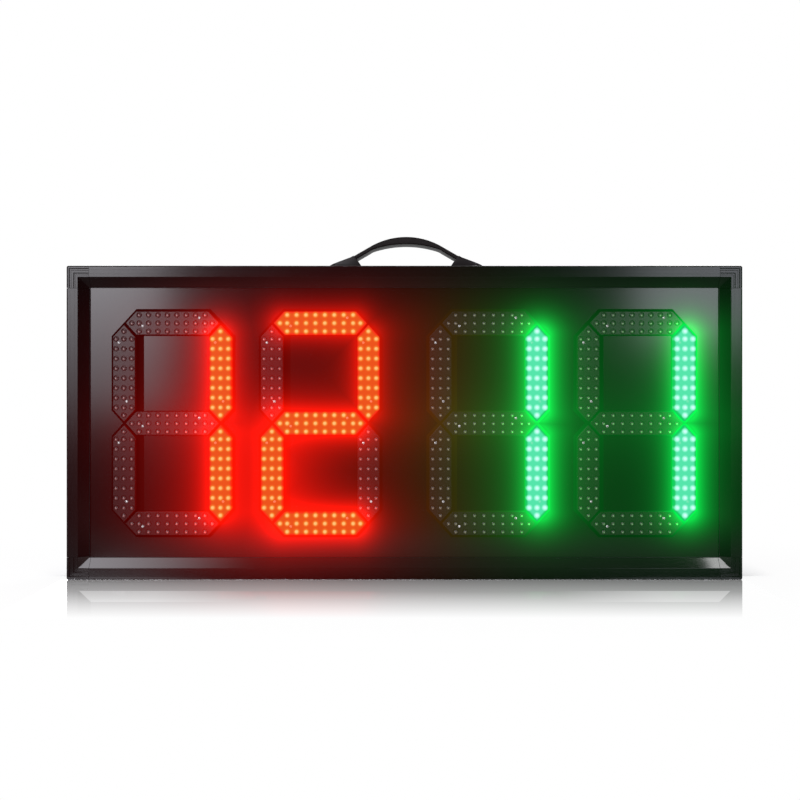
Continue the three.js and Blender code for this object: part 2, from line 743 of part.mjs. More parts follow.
// Control board hung from the rear cover, with a push switch under every key.
function addControlBoard() {
  const flangeFront = coverSeat - collarDepth - seatGap - keyFlange;
  const plungerTop = flangeFront - keyTravel - seatGap;
  const baseTop = plungerTop - plungerRise;
  const boardBack = baseTop - switchBase / 2;
  const boardFront = boardBack - boardThickness;
  const headerPlace = headerInset - controlBoardHeight / 2;
  const pieces = [
    block(controlBoardWidth, controlBoardHeight, boardFront, boardBack),
    ...spacers(controlBoardWidth, controlBoardHeight, boardBack - fuseDepth, insideSeat),
    block(chipLength, chipLength, boardFront - chipHeight, boardFront + fuseDepth),
    block(headerLength, headerWidth, boardFront - headerHeight, boardFront + fuseDepth, 0, headerPlace),
  ];
  for (const x of keyPlaces()) {
    pieces.push(block(switchBase, switchBase, boardBack - fuseDepth, baseTop, x));
    pieces.push(bar(plungerRadius, pinSides, baseTop - fuseDepth, plungerTop, x));
  }
  addPiece("control_board", joined(pieces), finishes.boardGreen, new THREE.Vector3(0, 0, controlHeight));
}

// Battery pack: rows of round cells in one shrink sleeve, drawn as arcs joined by flat webs.
function addBatteryPack() {
  const section = new THREE.Shape();
  const reach = packReach - cellRadius;
  const [upStart, upEnd] = [Math.PI / 2 - cellWebAngle, Math.PI / 2 + cellWebAngle];
  for (let cell = 0; cell < cellCount; cell += 1) {
    const start = cell === 0 ? 0 : upStart;
    const end = cell === cellCount - 1 ? Math.PI : upEnd;
    section.absarc(reach - cell * cellPitch, 0, cellRadius, start, end);
  }
  for (let cell = 0; cell < cellCount; cell += 1) {
    const start = cell === 0 ? Math.PI : upStart + Math.PI;
    const end = cell === cellCount - 1 ? 2 * Math.PI : upEnd + Math.PI;
    section.absarc(cell * cellPitch - reach, 0, cellRadius, start, end);
  }
  const options = { depth: packLength, bevelEnabled: false, curveSegments: cellSegments };
  const pack = new THREE.ExtrudeGeometry(section, options);
  pack.translate(0, 0, -packLength / 2);
  const upwards = new THREE.Vector3(0, 0, 1);
  const backwards = new THREE.Vector3(0, 1, 0);
  const along = new THREE.Vector3(-1, 0, 0);
  pack.applyMatrix4(new THREE.Matrix4().makeBasis(upwards, backwards, along));
  const centre = new THREE.Vector3(0, atDepth(insideSeat - cellRadius), packHeight);
  addPiece("battery_pack", toGeometry(toSolid(pack)), finishes.shrinkBlue, centre);
  for (const [name, side] of [["battery_strap_left", -1], ["battery_strap_right", 1]]) {
    const place = new THREE.Vector3((side * packStrapPitch) / 2, atDepth(insideSeat), packHeight);
    addPiece(name, batteryStrap(), finishes.zincSteel, place);
  }
}

// A pressed steel strap over the pack with a foot on the cover at each side.
function batteryStrap() {
  const halfInside = packReach + seatGap;
  const outside = halfInside + strapMetal;
  const foot = packStrapReach;
  const inner = 2 * cellRadius + seatGap;
  const outer = inner + strapMetal;
  const shape = new THREE.Shape([
    new THREE.Vector2(-foot, 0),
    new THREE.Vector2(-halfInside, 0),
    new THREE.Vector2(-halfInside, inner),
    new THREE.Vector2(halfInside, inner),
    new THREE.Vector2(halfInside, 0),
    new THREE.Vector2(foot, 0),
    new THREE.Vector2(foot, strapMetal),
    new THREE.Vector2(outside, strapMetal),
    new THREE.Vector2(outside, outer),
    new THREE.Vector2(-outside, outer),
    new THREE.Vector2(-outside, strapMetal),
    new THREE.Vector2(-foot, strapMetal),
  ]);
  const strap = new THREE.ExtrudeGeometry(shape, { depth: packStrapWidth, bevelEnabled: false });
  strap.translate(0, 0, -packStrapWidth / 2);
  const upwards = new THREE.Vector3(0, 0, 1);
  const forwards = new THREE.Vector3(0, -1, 0);
  const across = new THREE.Vector3(1, 0, 0);
  return strap.applyMatrix4(new THREE.Matrix4().makeBasis(upwards, forwards, across));
}

// Height of the top of the strap over the rail at a distance from its middle, outside the grip.
function strapTop(x) {
  return gripEndHeight - (x - gripEnd) * Math.tan(strapAngle);
}

// Side view of the strap: arched grip, straight arms, necks under the caps and flat end tabs.
function strapSide() {
  const seat = seatGap;
  const underAngle = Math.asin(gripEnd / gripUnderRadius);
  const armDrop = strapThickness / Math.cos(strapAngle);
  const armFoot = gripEnd + (strapTop(gripEnd) - armDrop - seat) / Math.tan(strapAngle);
  const arm = [
    [capMouth, strapTop(capMouth)],
    [capMouth, strapTop(capMouth) - neckDrop],
    [tabBend, strapTop(tabBend) - neckDrop],
    [tabEnd, seat + tabThickness],
    [tabEnd, seat],
    [armFoot, seat],
    [gripEnd, strapTop(gripEnd) - armDrop],
  ];
  const side = new THREE.Shape();
  const quarter = Math.PI / 2;
  side.absarc(0, gripRise - gripTopRadius, gripTopRadius, quarter + strapAngle, quarter - strapAngle, true);
  arm.forEach(([x, z]) => side.lineTo(x, z));
  side.absarc(0, gripGap - gripUnderRadius, gripUnderRadius, quarter - underAngle, quarter + underAngle);
  arm.toReversed().forEach(([x, z]) => side.lineTo(-x, z));
  return side;
}

// Plan view of a cap: square at the mouth, with rounded corners at its outer tip.
function capPlan(width) {
  const [half, centre] = [width / 2, capTip - capCornerRadius];
  const plan = new THREE.Shape();
  plan.moveTo(capMouth - capFootReach - overrun, -half);
  plan.lineTo(centre, -half);
  plan.absarc(centre, capCornerRadius - half, capCornerRadius, -Math.PI / 2, 0);
  plan.absarc(centre, half - capCornerRadius, capCornerRadius, 0, Math.PI / 2);
  plan.lineTo(capMouth - capFootReach - overrun, half);
  return plan;
}

// End cap: a wedge over the end of the strap, hollow underneath and open at its mouth.
function handleCap() {
  const width = strapWidth + 2 * (seatGap + capWall);
  const capFoot = capMouth - capFootReach;
  const capPeak = capMouthHeight + capPeakRise;
  const wedge = new THREE.Shape([
    new THREE.Vector2(capFoot, seatGap),
    new THREE.Vector2(capTip, seatGap),
    new THREE.Vector2(capTip, capTipHeight),
    new THREE.Vector2(capMouth + capShoulderReach, capMouthHeight - capShoulderDrop),
    new THREE.Vector2(capMouth, capPeak),
    new THREE.Vector2(capMouth - capCheekReach, capMouthHeight - capCheekDrop),
  ]);
  const clear = seatGap / Math.cos(strapAngle);
  const hollow = new THREE.Shape([
    new THREE.Vector2(capFoot - overrun, seatGap - overrun),
    new THREE.Vector2(tabEnd + seatGap, seatGap - overrun),
    new THREE.Vector2(tabEnd + seatGap, tabThickness + 2 * seatGap),
    new THREE.Vector2(tabBend, strapTop(tabBend) - neckDrop + clear),
    new THREE.Vector2(capMouth + seatGap, strapTop(capMouth) - neckDrop + clear),
    new THREE.Vector2(capMouth + seatGap, capPeak + overrun),
    new THREE.Vector2(capFoot - overrun, capPeak + overrun),
  ]);
  const cavityWidth = strapWidth + 2 * seatGap;
  const planOptions = {
    depth: capPeak + overrun,
    bevelEnabled: false,
    curveSegments: capCornerSegments,
  };
  const plan = new THREE.ExtrudeGeometry(capPlan(width), planOptions);
  const body = toSolid(sideways(wedge, width)).intersect(toSolid(plan));
  return toGeometry(body.subtract(toSolid(sideways(hollow, cavityWidth))));
}

// A shape drawn in x and z, as wide as told and centred in depth, with its edges rounded if asked.
function sideways(shape, width, bevel = 0) {
  const geometry = new THREE.ExtrudeGeometry(shape, {
    depth: width - 2 * bevel,
    bevelEnabled: bevel > 0,
    bevelThickness: bevel,
    bevelSize: bevel,
    bevelOffset: -bevel,
    bevelSegments: strapEdgeSegments,
    curveSegments: gripSegments,
  });
  geometry.rotateX(Math.PI / 2);
  return geometry.translate(0, width / 2 - bevel, 0);
}

function addHandle() {
  const place = new THREE.Vector3(handleOffset, 0, boardHeight);
  addPiece("handle_strap", sideways(strapSide(), strapWidth, strapEdge), finishes.strapRubber, place);
  addPiece("handle_cap_right", handleCap(), finishes.blackMoulding, place);
  addPiece("handle_cap_left", handleCap(), finishes.blackMoulding, place, new THREE.Euler(0, 0, Math.PI));
}

addFrame();
addPanel();
addDigits();
addDriverBoards();
addRearCover();
addKeypad();
addPowerSwitch();
addChargeSocket();
addControlBoard();
addBatteryPack();
addHandle();

export default scoreboard;
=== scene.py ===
"""Portable four-digit LED scoreboard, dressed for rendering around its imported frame.

Lengths are metres. The display faces -Y, +X is to its right and +Z is up. The sections follow the
board as it is put together: frame, panel, lamp trays, inside parts, rear side and handle.
"""
import math
from functools import partialmethod

import bmesh
import bpy
import numpy as np
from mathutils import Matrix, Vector


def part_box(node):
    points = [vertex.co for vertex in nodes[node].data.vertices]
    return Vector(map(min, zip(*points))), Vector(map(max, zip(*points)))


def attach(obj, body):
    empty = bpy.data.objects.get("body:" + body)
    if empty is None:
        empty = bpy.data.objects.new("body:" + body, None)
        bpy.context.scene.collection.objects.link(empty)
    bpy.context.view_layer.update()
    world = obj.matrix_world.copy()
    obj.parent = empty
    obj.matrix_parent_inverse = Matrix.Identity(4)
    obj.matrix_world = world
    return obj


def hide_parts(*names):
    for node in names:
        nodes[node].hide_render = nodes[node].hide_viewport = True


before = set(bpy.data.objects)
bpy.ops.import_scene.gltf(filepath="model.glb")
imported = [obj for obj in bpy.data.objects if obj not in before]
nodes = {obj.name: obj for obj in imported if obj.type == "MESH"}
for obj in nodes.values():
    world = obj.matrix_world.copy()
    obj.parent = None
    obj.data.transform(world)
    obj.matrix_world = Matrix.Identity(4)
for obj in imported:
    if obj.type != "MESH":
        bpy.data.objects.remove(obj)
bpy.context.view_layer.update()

# Camera: straight at the display from 1.2 m, 2 cm above the middle of the digits. The picture is
# square, 800 pixels wide, and at the front of the board it shows 0.733 m.
camera_distance = 1.2
picture_width = 0.7332
camera_data = bpy.data.cameras.new("camera")
camera_data.sensor_width = 36
camera_data.lens = camera_data.sensor_width * camera_distance / picture_width
camera = bpy.data.objects.new("camera", camera_data)
front_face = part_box("frame_rail_bottom")[0].y
camera.location = (-0.0041, front_face - camera_distance, 0.1648)
camera.rotation_euler = (math.pi / 2, 0, 0)
bpy.context.scene.collection.objects.link(camera)
bpy.context.scene.camera = camera
bpy.context.scene.view_settings.view_transform = "Standard"

# Frame rails. Four lengths of black anodised aluminium extrusion: a flat front land with two fine
# grooves, a lip that slopes in to the panel, and a box tube behind. They are cut square and pushed
# onto the tongues of the corner blocks.
land = 0.0105
slope = 0.009
recess = 0.009
lip_crown = 0.0008
wall = 0.0014
tube = 0.012
ledge = 0.008
edge_radius = 0.0016
lip_round = 0.0003
groove_places = (0.0035, 0.0077)
corner_size = 0.0205
joint_gap = 0.0003
frame_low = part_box("corner_block_bottom_left")[0]
frame_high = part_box("corner_block_top_right")[1]
board_width = frame_high.x - frame_low.x
board_height = frame_high.z - frame_low.z
board_depth = frame_high.y - frame_low.y
cover_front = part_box("rear_cover")[0].y - front_face


def new_piece(name, points, faces, materials, body, replaced=(), smooth_angle=35, tags=None,
              weighted=False):
    """A mesh object at the origin that rides on a body. Doubles are merged, normals point outwards,
    faces are smooth up to an angle, and tags gives each face the number of its material. Weighted
    normals keep wide faces flat beside narrow roundings."""
    mesh = bpy.data.meshes.new(name)
    mesh.from_pydata(np.asarray(points).tolist(), [], [list(face) for face in faces])
    if tags is not None:
        mesh.polygons.foreach_set("material_index", np.asarray(tags, dtype=np.int32))
    work = bmesh.new()
    work.from_mesh(mesh)
    bmesh.ops.remove_doubles(work, verts=work.verts, dist=1e-7)
    bmesh.ops.recalc_face_normals(work, faces=work.faces)
    work.to_mesh(mesh)
    work.free()
    mesh.shade_smooth()
    mesh.set_sharp_from_angle(angle=math.radians(smooth_angle))
    for material in materials:
        mesh.materials.append(material)
    piece = bpy.data.objects.new(name, mesh)
    bpy.context.scene.collection.objects.link(piece)
    if weighted:
        piece.modifiers.new("flat_faces", "WEIGHTED_NORMAL").keep_sharp = True
    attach(piece, body)
    if replaced:
        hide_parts(*replaced)
    return piece


def rounded(corners, radii, steps=4):
    """Outline through a polygon's corners, each replaced by a curve that leaves one side at the
    corner's radius and meets the next at the same distance (a quadratic Bezier curve)."""
    corners = np.asarray(corners, float)
    radii = np.broadcast_to(radii, len(corners))
    before = np.roll(corners, 1, axis=0) - corners
    after = np.roll(corners, -1, axis=0) - corners
    start = corners + before / np.linalg.norm(before, axis=1)[:, None] * radii[:, None]
    end = corners + after / np.linalg.norm(after, axis=1)[:, None] * radii[:, None]
    t = np.linspace(0, 1, steps + 1)[None, :, None]
    curves = (1 - t) ** 2 * start[:, None] + 2 * t * (1 - t) * corners[:, None] + t**2 * end[:, None]
    return np.concatenate([curve[:1] if radius == 0 else curve for curve, radius in zip(curves, radii)])


def ring_faces(rings, count, closed=False):
    """Quads between successive rings of equally many points, with the two ends closed if asked."""
    step, point = np.meshgrid(np.arange(rings - 1), np.arange(count), indexing="ij")
    near, far, following = step * count, (step + 1) * count, (point + 1) % count
    quads = np.stack([near + point, near + following, far + following, far + point], axis=-1)
    faces = quads.reshape(-1, 4).tolist()
    if closed:
        faces.append(list(range(count)))
        faces.append(list(range((rings - 1) * count, rings * count)))
    return faces


def frame_section(groove_depth, groove_width):
    """Section of the frame as (inwards, backwards) points, the same for rails and corner blocks but
    for the depth and width of the two grooves. The lip is crowned: backwards = x - crown * (x /
    slope)**2 at a distance x inwards from the land."""
    corners = [(0, 0)]
    radii = [edge_radius]
    for place in groove_places:
        for inwards, backwards in ((-1, 0), (-1, 1), (1, 1), (1, 0)):
            corners.append((place + inwards * groove_width / 2, backwards * groove_depth))
            radii.append(groove_depth * 0.4)
    corners.append((land, 0))
    radii.append(lip_round)
    for share in (0.2, 0.4, 0.6, 0.8):
        corners.append((land + slope * share, recess * share - lip_crown * share**2))
        radii.append(0)
    corners += [
        (land + slope, recess - lip_crown),
        (land + slope, recess + wall),
        (tube, recess + wall),
        (tube, cover_front - joint_gap - wall),
        (tube + ledge, cover_front - joint_gap - wall),
        (tube + ledge, cover_front - joint_gap),
        (tube, cover_front - joint_gap),
        (tube, board_depth),
        (0, board_depth),
    ]
    radii += [lip_round, 0, 0, 0, 0, 0, 0, 0.0004, edge_radius]
    return rounded(corners, radii)


def on_side(side, along, inwards, backwards):
    """World points of one side of the frame, from the distance along it, inwards and backwards."""
    if side == "bottom":
        x, z = frame_low.x + along, frame_low.z + inwards
    elif side == "right":
        x, z = frame_high.x - inwards, frame_low.z + along
    elif side == "top":
        x, z = frame_high.x - along, frame_high.z - inwards
    else:
        x, z = frame_low.x + inwards, frame_high.z - along
    return np.stack([x, front_face + backwards, z], axis=-1)


class Signal:
    """What a shader tree works out at a point. Each sum or comparison of signals adds a Math node,
    or a Vector Math node where the first one isn't a plain number."""

    def __init__(self, socket):
        self.socket = socket

    def into(self, socket):
        """Links this signal to an input."""
        self.socket.id_data.links.new(self.socket, socket)

    def through(self, kind, output, inputs, **settings):
        """An output of a new node in the same tree."""
        return signal(self.socket.id_data, kind, output, inputs, **settings)

    def maths(self, operation, *others):
        """This signal and the others, put through one Math or Vector Math node."""
        kind = "ShaderNodeMath" if self.socket.type == "VALUE" else "ShaderNodeVectorMath"
        output = "Value" if operation == "LENGTH" else 0
        return self.through(kind, output, dict(enumerate([self, *others])), operation=operation)

    __add__ = partialmethod(maths, "ADD")
    __sub__ = partialmethod(maths, "SUBTRACT")
    __mul__ = partialmethod(maths, "MULTIPLY")
    __truediv__ = partialmethod(maths, "DIVIDE")
    __gt__ = partialmethod(maths, "GREATER_THAN")
    __lt__ = partialmethod(maths, "LESS_THAN")
    __abs__ = partialmethod(maths, "ABSOLUTE")

    def __rsub__(self, other):
        return self.through("ShaderNodeMath", "Value", {0: other, 1: self}, operation="SUBTRACT")

    def hypotenuse(self, other):
        """Root of the sum of both squares."""
        return (self * self + other * other).maths("SQRT")

    def part(self, axis):
        """One coordinate of a vector."""
        return self.through("ShaderNodeSeparateXYZ", axis, {0: self})

    def ramp(self, start, end, low=0.0, high=1.0, kind="LINEAR"):
        """Goes from low to high while this signal goes from start to end."""
        return self.through("ShaderNodeMapRange", "Result", {
            "Value": self, "From Min": start, "From Max": end, "To Min": low, "To Max": high,
        }, interpolation_type=kind)

    def mix(self, first, last):
        """Colour between the first and the last, with this signal as the share of the last."""
        first, last = [tint if isinstance(tint, Signal) else (*tint, 1) for tint in (first, last)]
        inputs = {"Factor": self, "A": first, "B": last}
        return self.through("ShaderNodeMix", "Result", inputs, data_type="RGBA")

    def blend(self, start, end, first, last):
        """Colour that runs smoothly from the first to the last while this goes from start to end."""
        return self.ramp(start, end, kind="SMOOTHSTEP").mix(first, last)


def add_node(tree, kind, inputs=None, **settings):
    """Adds a shader node. Inputs are plain values, or signals that get linked."""
    made = tree.nodes.new(kind)
    for name, value in settings.items():
        setattr(made, name, value)
    for name, value in (inputs or {}).items():
        if isinstance(value, Signal):
            value.into(made.inputs[name])
        else:
            made.inputs[name].default_value = value
    return made


def signal(tree, kind, output, inputs=None, **settings):
    """One output of a new shader node."""
    return Signal(add_node(tree, kind, inputs, **settings).outputs[output])


def signals(node):
    """All outputs of a shader node, by name."""
    return {output.name: Signal(output) for output in node.outputs}


def place_in(tree):
    """The point's own coordinates."""
    return signal(tree, "ShaderNodeTexCoord", "Object")


def new_group(name, inputs, outputs, output_kind="NodeSocketFloat"):
    """Empty node group, its inputs as signals and its output sockets. Tuples are vector inputs."""
    group = bpy.data.node_groups.new(name, "ShaderNodeTree")
    for socket, value in inputs.items():
        kind = "NodeSocketVector" if isinstance(value, tuple) else "NodeSocketFloat"
        group.interface.new_socket(socket, in_out="INPUT", socket_type=kind).default_value = value
    for socket in outputs:
        group.interface.new_socket(socket, in_out="OUTPUT", socket_type=output_kind)
    source = group.nodes.new("NodeGroupInput").outputs
    given = {socket: Signal(source[socket]) for socket in inputs}
    return group, given, group.nodes.new("NodeGroupOutput").inputs


def use_group(tree, group, inputs):
    """Outputs of a node group in a tree, by name."""
    return signals(add_node(tree, "ShaderNodeGroup", inputs, node_tree=group))


# Painted light: the light of the lit trays on what lies round them, given out as emission by those surfaces.
# It falls off with the distance from the edge of each lit tray, and it shows only on the front of the board.
# Each lit tray has two strengths, of its light close by and of its light further off, because the lower red
# trays shine brighter.
tray_light = {
    "1b": (0.79, 0.242), "1c": (0.78, 0.244), "2a": (0.57, 0.028), "2b": (0.48, 0.183), "2d": (1.33, 0.139),
    "2e": (0.3, 0.79), "2g": (0.92, 0.042), "3b": (0.66, 0.112), "3c": (0.56, 0.133), "4b": (0.67, 0.111),
    "4c": (0.66, 0.1),
}
lit_segments = {1: "bc", 2: "abdeg", 3: "bc", 4: "bc"}
near_reach = 0.0075
far_reach = 0.036
far_rise = 1.88
glow_start, glow_full = -0.0125, -0.0142
light_shift = {"red": -0.002, "green": 0.003}


def make_tray_glow():
    """Light of one tray close by and further off, strength * exp(-distance / reach). The tray is
    taken as a straight bar with round ends, and the distance counts from its outline. Further off,
    heights count almost double, because the light spreads mostly sideways."""
    group, given, result = new_group(
        "tray_glow", {"Centre": (0, 0, 0), "Half": (0, 0, 0), "Radius": 0.01, "Near": 0.7, "Far": 0.1},
        ["Near", "Far"],
    )
    beyond = abs(place_in(group) - given["Centre"]) - given["Half"]
    outside = beyond.maths("MAXIMUM", (0, 0, 0))
    for output, reach, rise in (("Near", near_reach, 1.0), ("Far", far_reach, far_rise)):
        from_bar = (outside * (1, 1, rise)).maths("LENGTH")
        distance = (from_bar - given["Radius"]).maths("MAXIMUM", 0.0)
        share = (distance / -reach).maths("EXPONENT")
        (share * given[output]).into(result[output])
    return group


def make_lamp_glow():
    """Painted red and green light of all the lit trays, as an emission colour: the strongest light close by
    and the sum of the light further off."""
    group, given, result = new_group("lamp_glow", {"Strength": 1.0}, ["Glow"], "NodeSocketColor")
    one_tray = make_tray_glow()
    closest, sums = {}, {}
    for tray, (near, far) in tray_light.items():
        colour = "red" if tray[0] in "12" else "green"
        low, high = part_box(f"digit_{tray[0]}_segment_{tray[1]}")
        centre, half = (low + high) / 2, (high - low) / 2
        radius = min(half.x, half.z)
        glow = use_group(group, one_tray, {
            "Centre": (centre.x + light_shift[colour], 0, centre.z),
            "Half": (half.x - radius, 1, half.z - radius),
            "Radius": radius,
            "Near": near,
            "Far": far,
        })
        first = colour not in sums
        closest[colour] = glow["Near"] if first else closest[colour].maths("MAXIMUM", glow["Near"])
        sums[colour] = glow["Far"] if first else sums[colour] + glow["Far"]
    level = place_in(group).part("Y").ramp(glow_start, glow_full) * given["Strength"]
    mixed = []
    for colour, tint in (("red", (1.0, 0.006, 0.001)), ("green", (0.002, 1.0, 0.086))):
        strength = (closest[colour] + sums[colour]) * level
        inputs = {0: strength, 1: tint}
        mixed.append(signal(group, "ShaderNodeVectorMath", "Vector", inputs, operation="MULTIPLY"))
    (mixed[0] + mixed[1]).into(result["Glow"])
    return group


def make_surface_grain():
    """Height and roughness of a finished surface: fine grain, longer marks along one axis and faint
    patches of handling. Stretch squeezes the pattern along an axis to draw the marks out."""
    group, given, result = new_group(
        "surface_grain", {"Scale": 900.0, "Stretch": (1, 1, 1), "Roughness": 0.4, "Variation": 0.06},
        ["Height", "Roughness", "Patches"],
    )
    place = place_in(group)
    grain = signal(group, "ShaderNodeTexNoise", "Fac", {
        "Vector": place * given["Stretch"], "Scale": given["Scale"], "Detail": 3.0, "Roughness": 0.6,
    })
    patches = signal(group, "ShaderNodeTexNoise", "Fac", {
        "Vector": place, "Scale": 18.0, "Detail": 5.0, "Roughness": 0.65, "Distortion": 0.4,
    })
    grain.into(result["Height"])
    (given["Roughness"] + (grain + patches - 1.0) * given["Variation"]).into(result["Roughness"])
    patches.into(result["Patches"])
    return group


def make_rubbed_edges():
    """Mask of worn edges of a box-shaped thing: a point is near an edge where at least two of its
    three coordinates lie close to the faces of the box. Noise breaks the mask up."""
    group, given, result = new_group(
        "rubbed_edges", {"Centre": (0, 0, 0), "Half": (1, 1, 1), "Width": 0.001, "Amount": 0.5}, ["Mask"],
    )
    place = place_in(group)
    depths = given["Half"] - abs(place - given["Centre"])
    close = [depths.part(axis) < given["Width"] for axis in "XYZ"]
    edge = close[0] + close[1] + close[2] > 1.5
    broken = signal(group, "ShaderNodeTexNoise", "Fac", {
        "Vector": place, "Scale": 210.0, "Detail": 4.0, "Roughness": 0.7,
    })
    (edge * broken.ramp(0.45, 0.6) * given["Amount"]).into(result["Mask"])
    return group


worn_width = 0.0009
lamp_glow = make_lamp_glow()
surface_grain = make_surface_grain()
rubbed_edges = make_rubbed_edges()


def surface(material):
    """Inputs of a material's shader."""
    return material.node_tree.nodes["Principled BSDF"].inputs


def fed(socket):
    """What feeds an input now."""
    return Signal(socket.links[0].from_socket)


def shine(material, light):
    """Lets a material give out light, a plain colour or a signal."""
    if isinstance(light, Signal):
        light.into(surface(material)["Emission Color"])
    else:
        surface(material)["Emission Color"].default_value = (*light, 1)
    surface(material)["Emission Strength"].default_value = 1.0


def finish(name, colour, rough, worn=None, grain=900.0, stretch=(1, 1, 1), bump=0.0, metallic=0.0,
           specular=0.5, glow=0.0, patch=0.25, variation=0.05):
    """A surface: base colour with faint patches, the worn edges of the frame in a second colour, grain in
    roughness and bump, and painted lamp light, given out as emission where the piece lies near the lamps."""
    material = bpy.data.materials.new(name)
    material.use_nodes = True
    tree = material.node_tree
    shader = surface(material)
    shader["Metallic"].default_value = metallic
    shader["Specular IOR Level"].default_value = specular
    texture = use_group(tree, surface_grain, {
        "Scale": grain, "Stretch": stretch, "Roughness": rough, "Variation": variation,
    })
    texture["Roughness"].into(shader["Roughness"])
    darker, lighter = [[channel * share for channel in colour] for share in (1 - patch, 1 + patch)]
    shade = texture["Patches"].mix(darker, lighter)
    if worn:
        mask = use_group(tree, rubbed_edges, {
            "Centre": (frame_low + frame_high) / 2, "Half": (frame_high - frame_low) / 2,
            "Width": worn_width, "Amount": 0.6,
        })["Mask"]
        shade = mask.mix(shade, worn)
    shade.into(shader["Base Color"])
    if bump:
        raised = {"Strength": 1.0, "Distance": bump, "Height": texture["Height"]}
        signal(tree, "ShaderNodeBump", "Normal", raised).into(shader["Normal"])
    if glow:
        shine(material, use_group(tree, lamp_glow, {"Strength": glow})["Glow"])
    return material


def slope_tags(section, rings):
    """Material numbers of the faces between rings: 0 on the land, 1 on the sloped lip, and 2 on the
    sides, on the back and on both ends."""
    following = np.roll(section, -1, axis=0)
    across, back = abs(following - section).T
    on_land = (section[:, 1] < edge_radius) & (following[:, 1] < edge_radius)
    on_lip = (across > slope / 8) & (back > recess / 12) & (section[:, 1] < recess)
    return np.concatenate([np.tile(np.where(on_lip, 1, np.where(on_land, 0, 2)), rings - 1), [2, 2]])


lip_finish = finish(
    "burnished_lip", (0.0015, 0.0015, 0.0016), 0.08, grain=2600.0, stretch=(0.1, 1, 1), specular=1.0,
    glow=0.8, variation=0.03,
)
dull_lip_finish = finish(
    "satin_lip", (0.0015, 0.0015, 0.0016), 0.16, grain=2600.0, stretch=(1, 1, 0.1), specular=0.1,
    glow=0.8, variation=0.03,
)
tube_finish = finish(
    "anodised_tube", (0.011, 0.011, 0.0115), 0.34, worn=(0.07, 0.07, 0.072),
    grain=1900.0, stretch=(0.3, 1, 0.3), bump=0.000006, specular=0.42, glow=0.3, variation=0.07,
)
rail_finishes = {}
for direction, stretch in (("level", (0.02, 1, 1)), ("upright", (1, 1, 0.02))):
    rail_finishes[direction] = finish(
        f"anodised_rail_{direction}", (0.0015, 0.0015, 0.0016), 0.18, worn=(0.06, 0.06, 0.062),
        grain=2600.0, stretch=stretch, bump=0.000002, specular=0.17, glow=0.8,
    )
section = frame_section(groove_depth=0.00008, groove_width=0.0008)
start = corner_size + joint_gap
for side in ("bottom", "right", "top", "left"):
    direction = "level" if side in ("bottom", "top") else "upright"
    length = board_width if direction == "level" else board_height
    rings = [on_side(side, np.full(len(section), along), *section.T) for along in (start, length - start)]
    side_lip_finish = lip_finish if side == "bottom" else dull_lip_finish
    new_piece(
        f"rail_{side}", np.concatenate(rings), ring_faces(2, len(section), closed=True),
        [rail_finishes[direction], side_lip_finish, tube_finish], "case",
        replaced=[f"frame_rail_{side}"], tags=slope_tags(section, 2), weighted=True,
    )

# Corner blocks. Plastic mouldings with two deep chevron grooves, whose tongues hold the rails. Their
# section is that of the rails, carried round the corner: what lies nearer the outside than the
# corner's radius turns on an arc, and the rest meets at a mitre.
corner_radius = 0.0018
corner_finish = finish(
    "corner_moulding", (0.002, 0.002, 0.0021), 0.2, worn=(0.05, 0.05, 0.052),
    grain=1400.0, bump=0.000003, specular=0.17, glow=0.8,
)
corner_side_finish = finish(
    "corner_moulding_side", (0.014, 0.014, 0.0145), 0.4, worn=(0.06, 0.06, 0.062),
    grain=1400.0, bump=0.00001, specular=0.4, glow=0.3,
)
section = frame_section(groove_depth=0.0009, groove_width=0.0017)
inwards, backwards = section.T
full = np.full(len(inwards), corner_size)
rest = np.maximum(corner_radius - inwards, 0)
base = np.maximum(inwards, corner_radius)
turns = np.linspace(0, np.pi / 2, 6)
paths = [(base - rest * math.sin(turn), base - rest * math.cos(turn)) for turn in turns]
paths = [(full, inwards)] + paths + [(inwards, full)]
corner_sides = {"bottom_left": "bottom", "bottom_right": "right", "top_right": "top", "top_left": "left"}
for corner, side in corner_sides.items():
    rings = [on_side(side, along, inset, backwards) for along, inset in paths]
    new_piece(
        f"corner_{corner}", np.concatenate(rings), ring_faces(len(rings), len(inwards), closed=True),
        [corner_finish, lip_finish if "bottom" in corner else dull_lip_finish, corner_side_finish], "case",
        replaced=[f"corner_block_{corner}"], tags=slope_tags(section, len(rings)),
        weighted=True,
    )

# Front panel. A 3 mm sheet with a satin black face, held in the channel behind the sloped lip. It catches the
# soft light at its upper corners, and round every lit digit it gives out painted lamp light.
panel_finish = finish(
    "panel_satin", (0.0008, 0.0007, 0.0008), 0.15, grain=420.0, bump=0.000001,
    specular=0.23, glow=1.0, patch=0.15, variation=0.03,
)


def dress(node, material):
    """Gives a CAD node its material."""
    nodes[node].data.materials.clear()
    nodes[node].data.materials.append(material)


dress("front_panel", panel_finish)

# Lamp trays. Moulded hexagonal trays, seven to a digit, each with three rows of eight lamps and one more lamp
# in each point. Every lamp stands in its own well, potted in black resin behind. A thin dark sheet under each
# digit, showing round its trays, is painted shade: it stands in for the dark edges and shadows round them.
lamps_per_row = 8
lamp_rows = 3
# Pitch of the lamps, pitch of the rows, and step from a row's last lamp to the lamp in the point.
tray_inner = {"upright": (0.009, 0.00715, 0.007), "level": (0.00866, 0.0075, 0.00664)}
point_share = 0.91
tray_corner = 0.0005
well_radius = 0.00235
well_depth = 0.0011
lamp_radius = 0.0021
lamp_rise = 0.0012
lamp_drop = 0.00035
lamp_body = 0.003
# Painted highlight on each unlit lamp's cup: how far below the lamp's middle it sits, and where its edge
# fades.
cup_highlight_drop = 0.0006
cup_highlight_fade = (0.0004, 0.001)
core_fade = (0.0007, 0.0024)
halo_fade = (0.002, 0.0035)
edge_fade = (0.0002, 0.0026)
tray_edge = 0.0003
lamp_sides = 12
face_height = 0.007


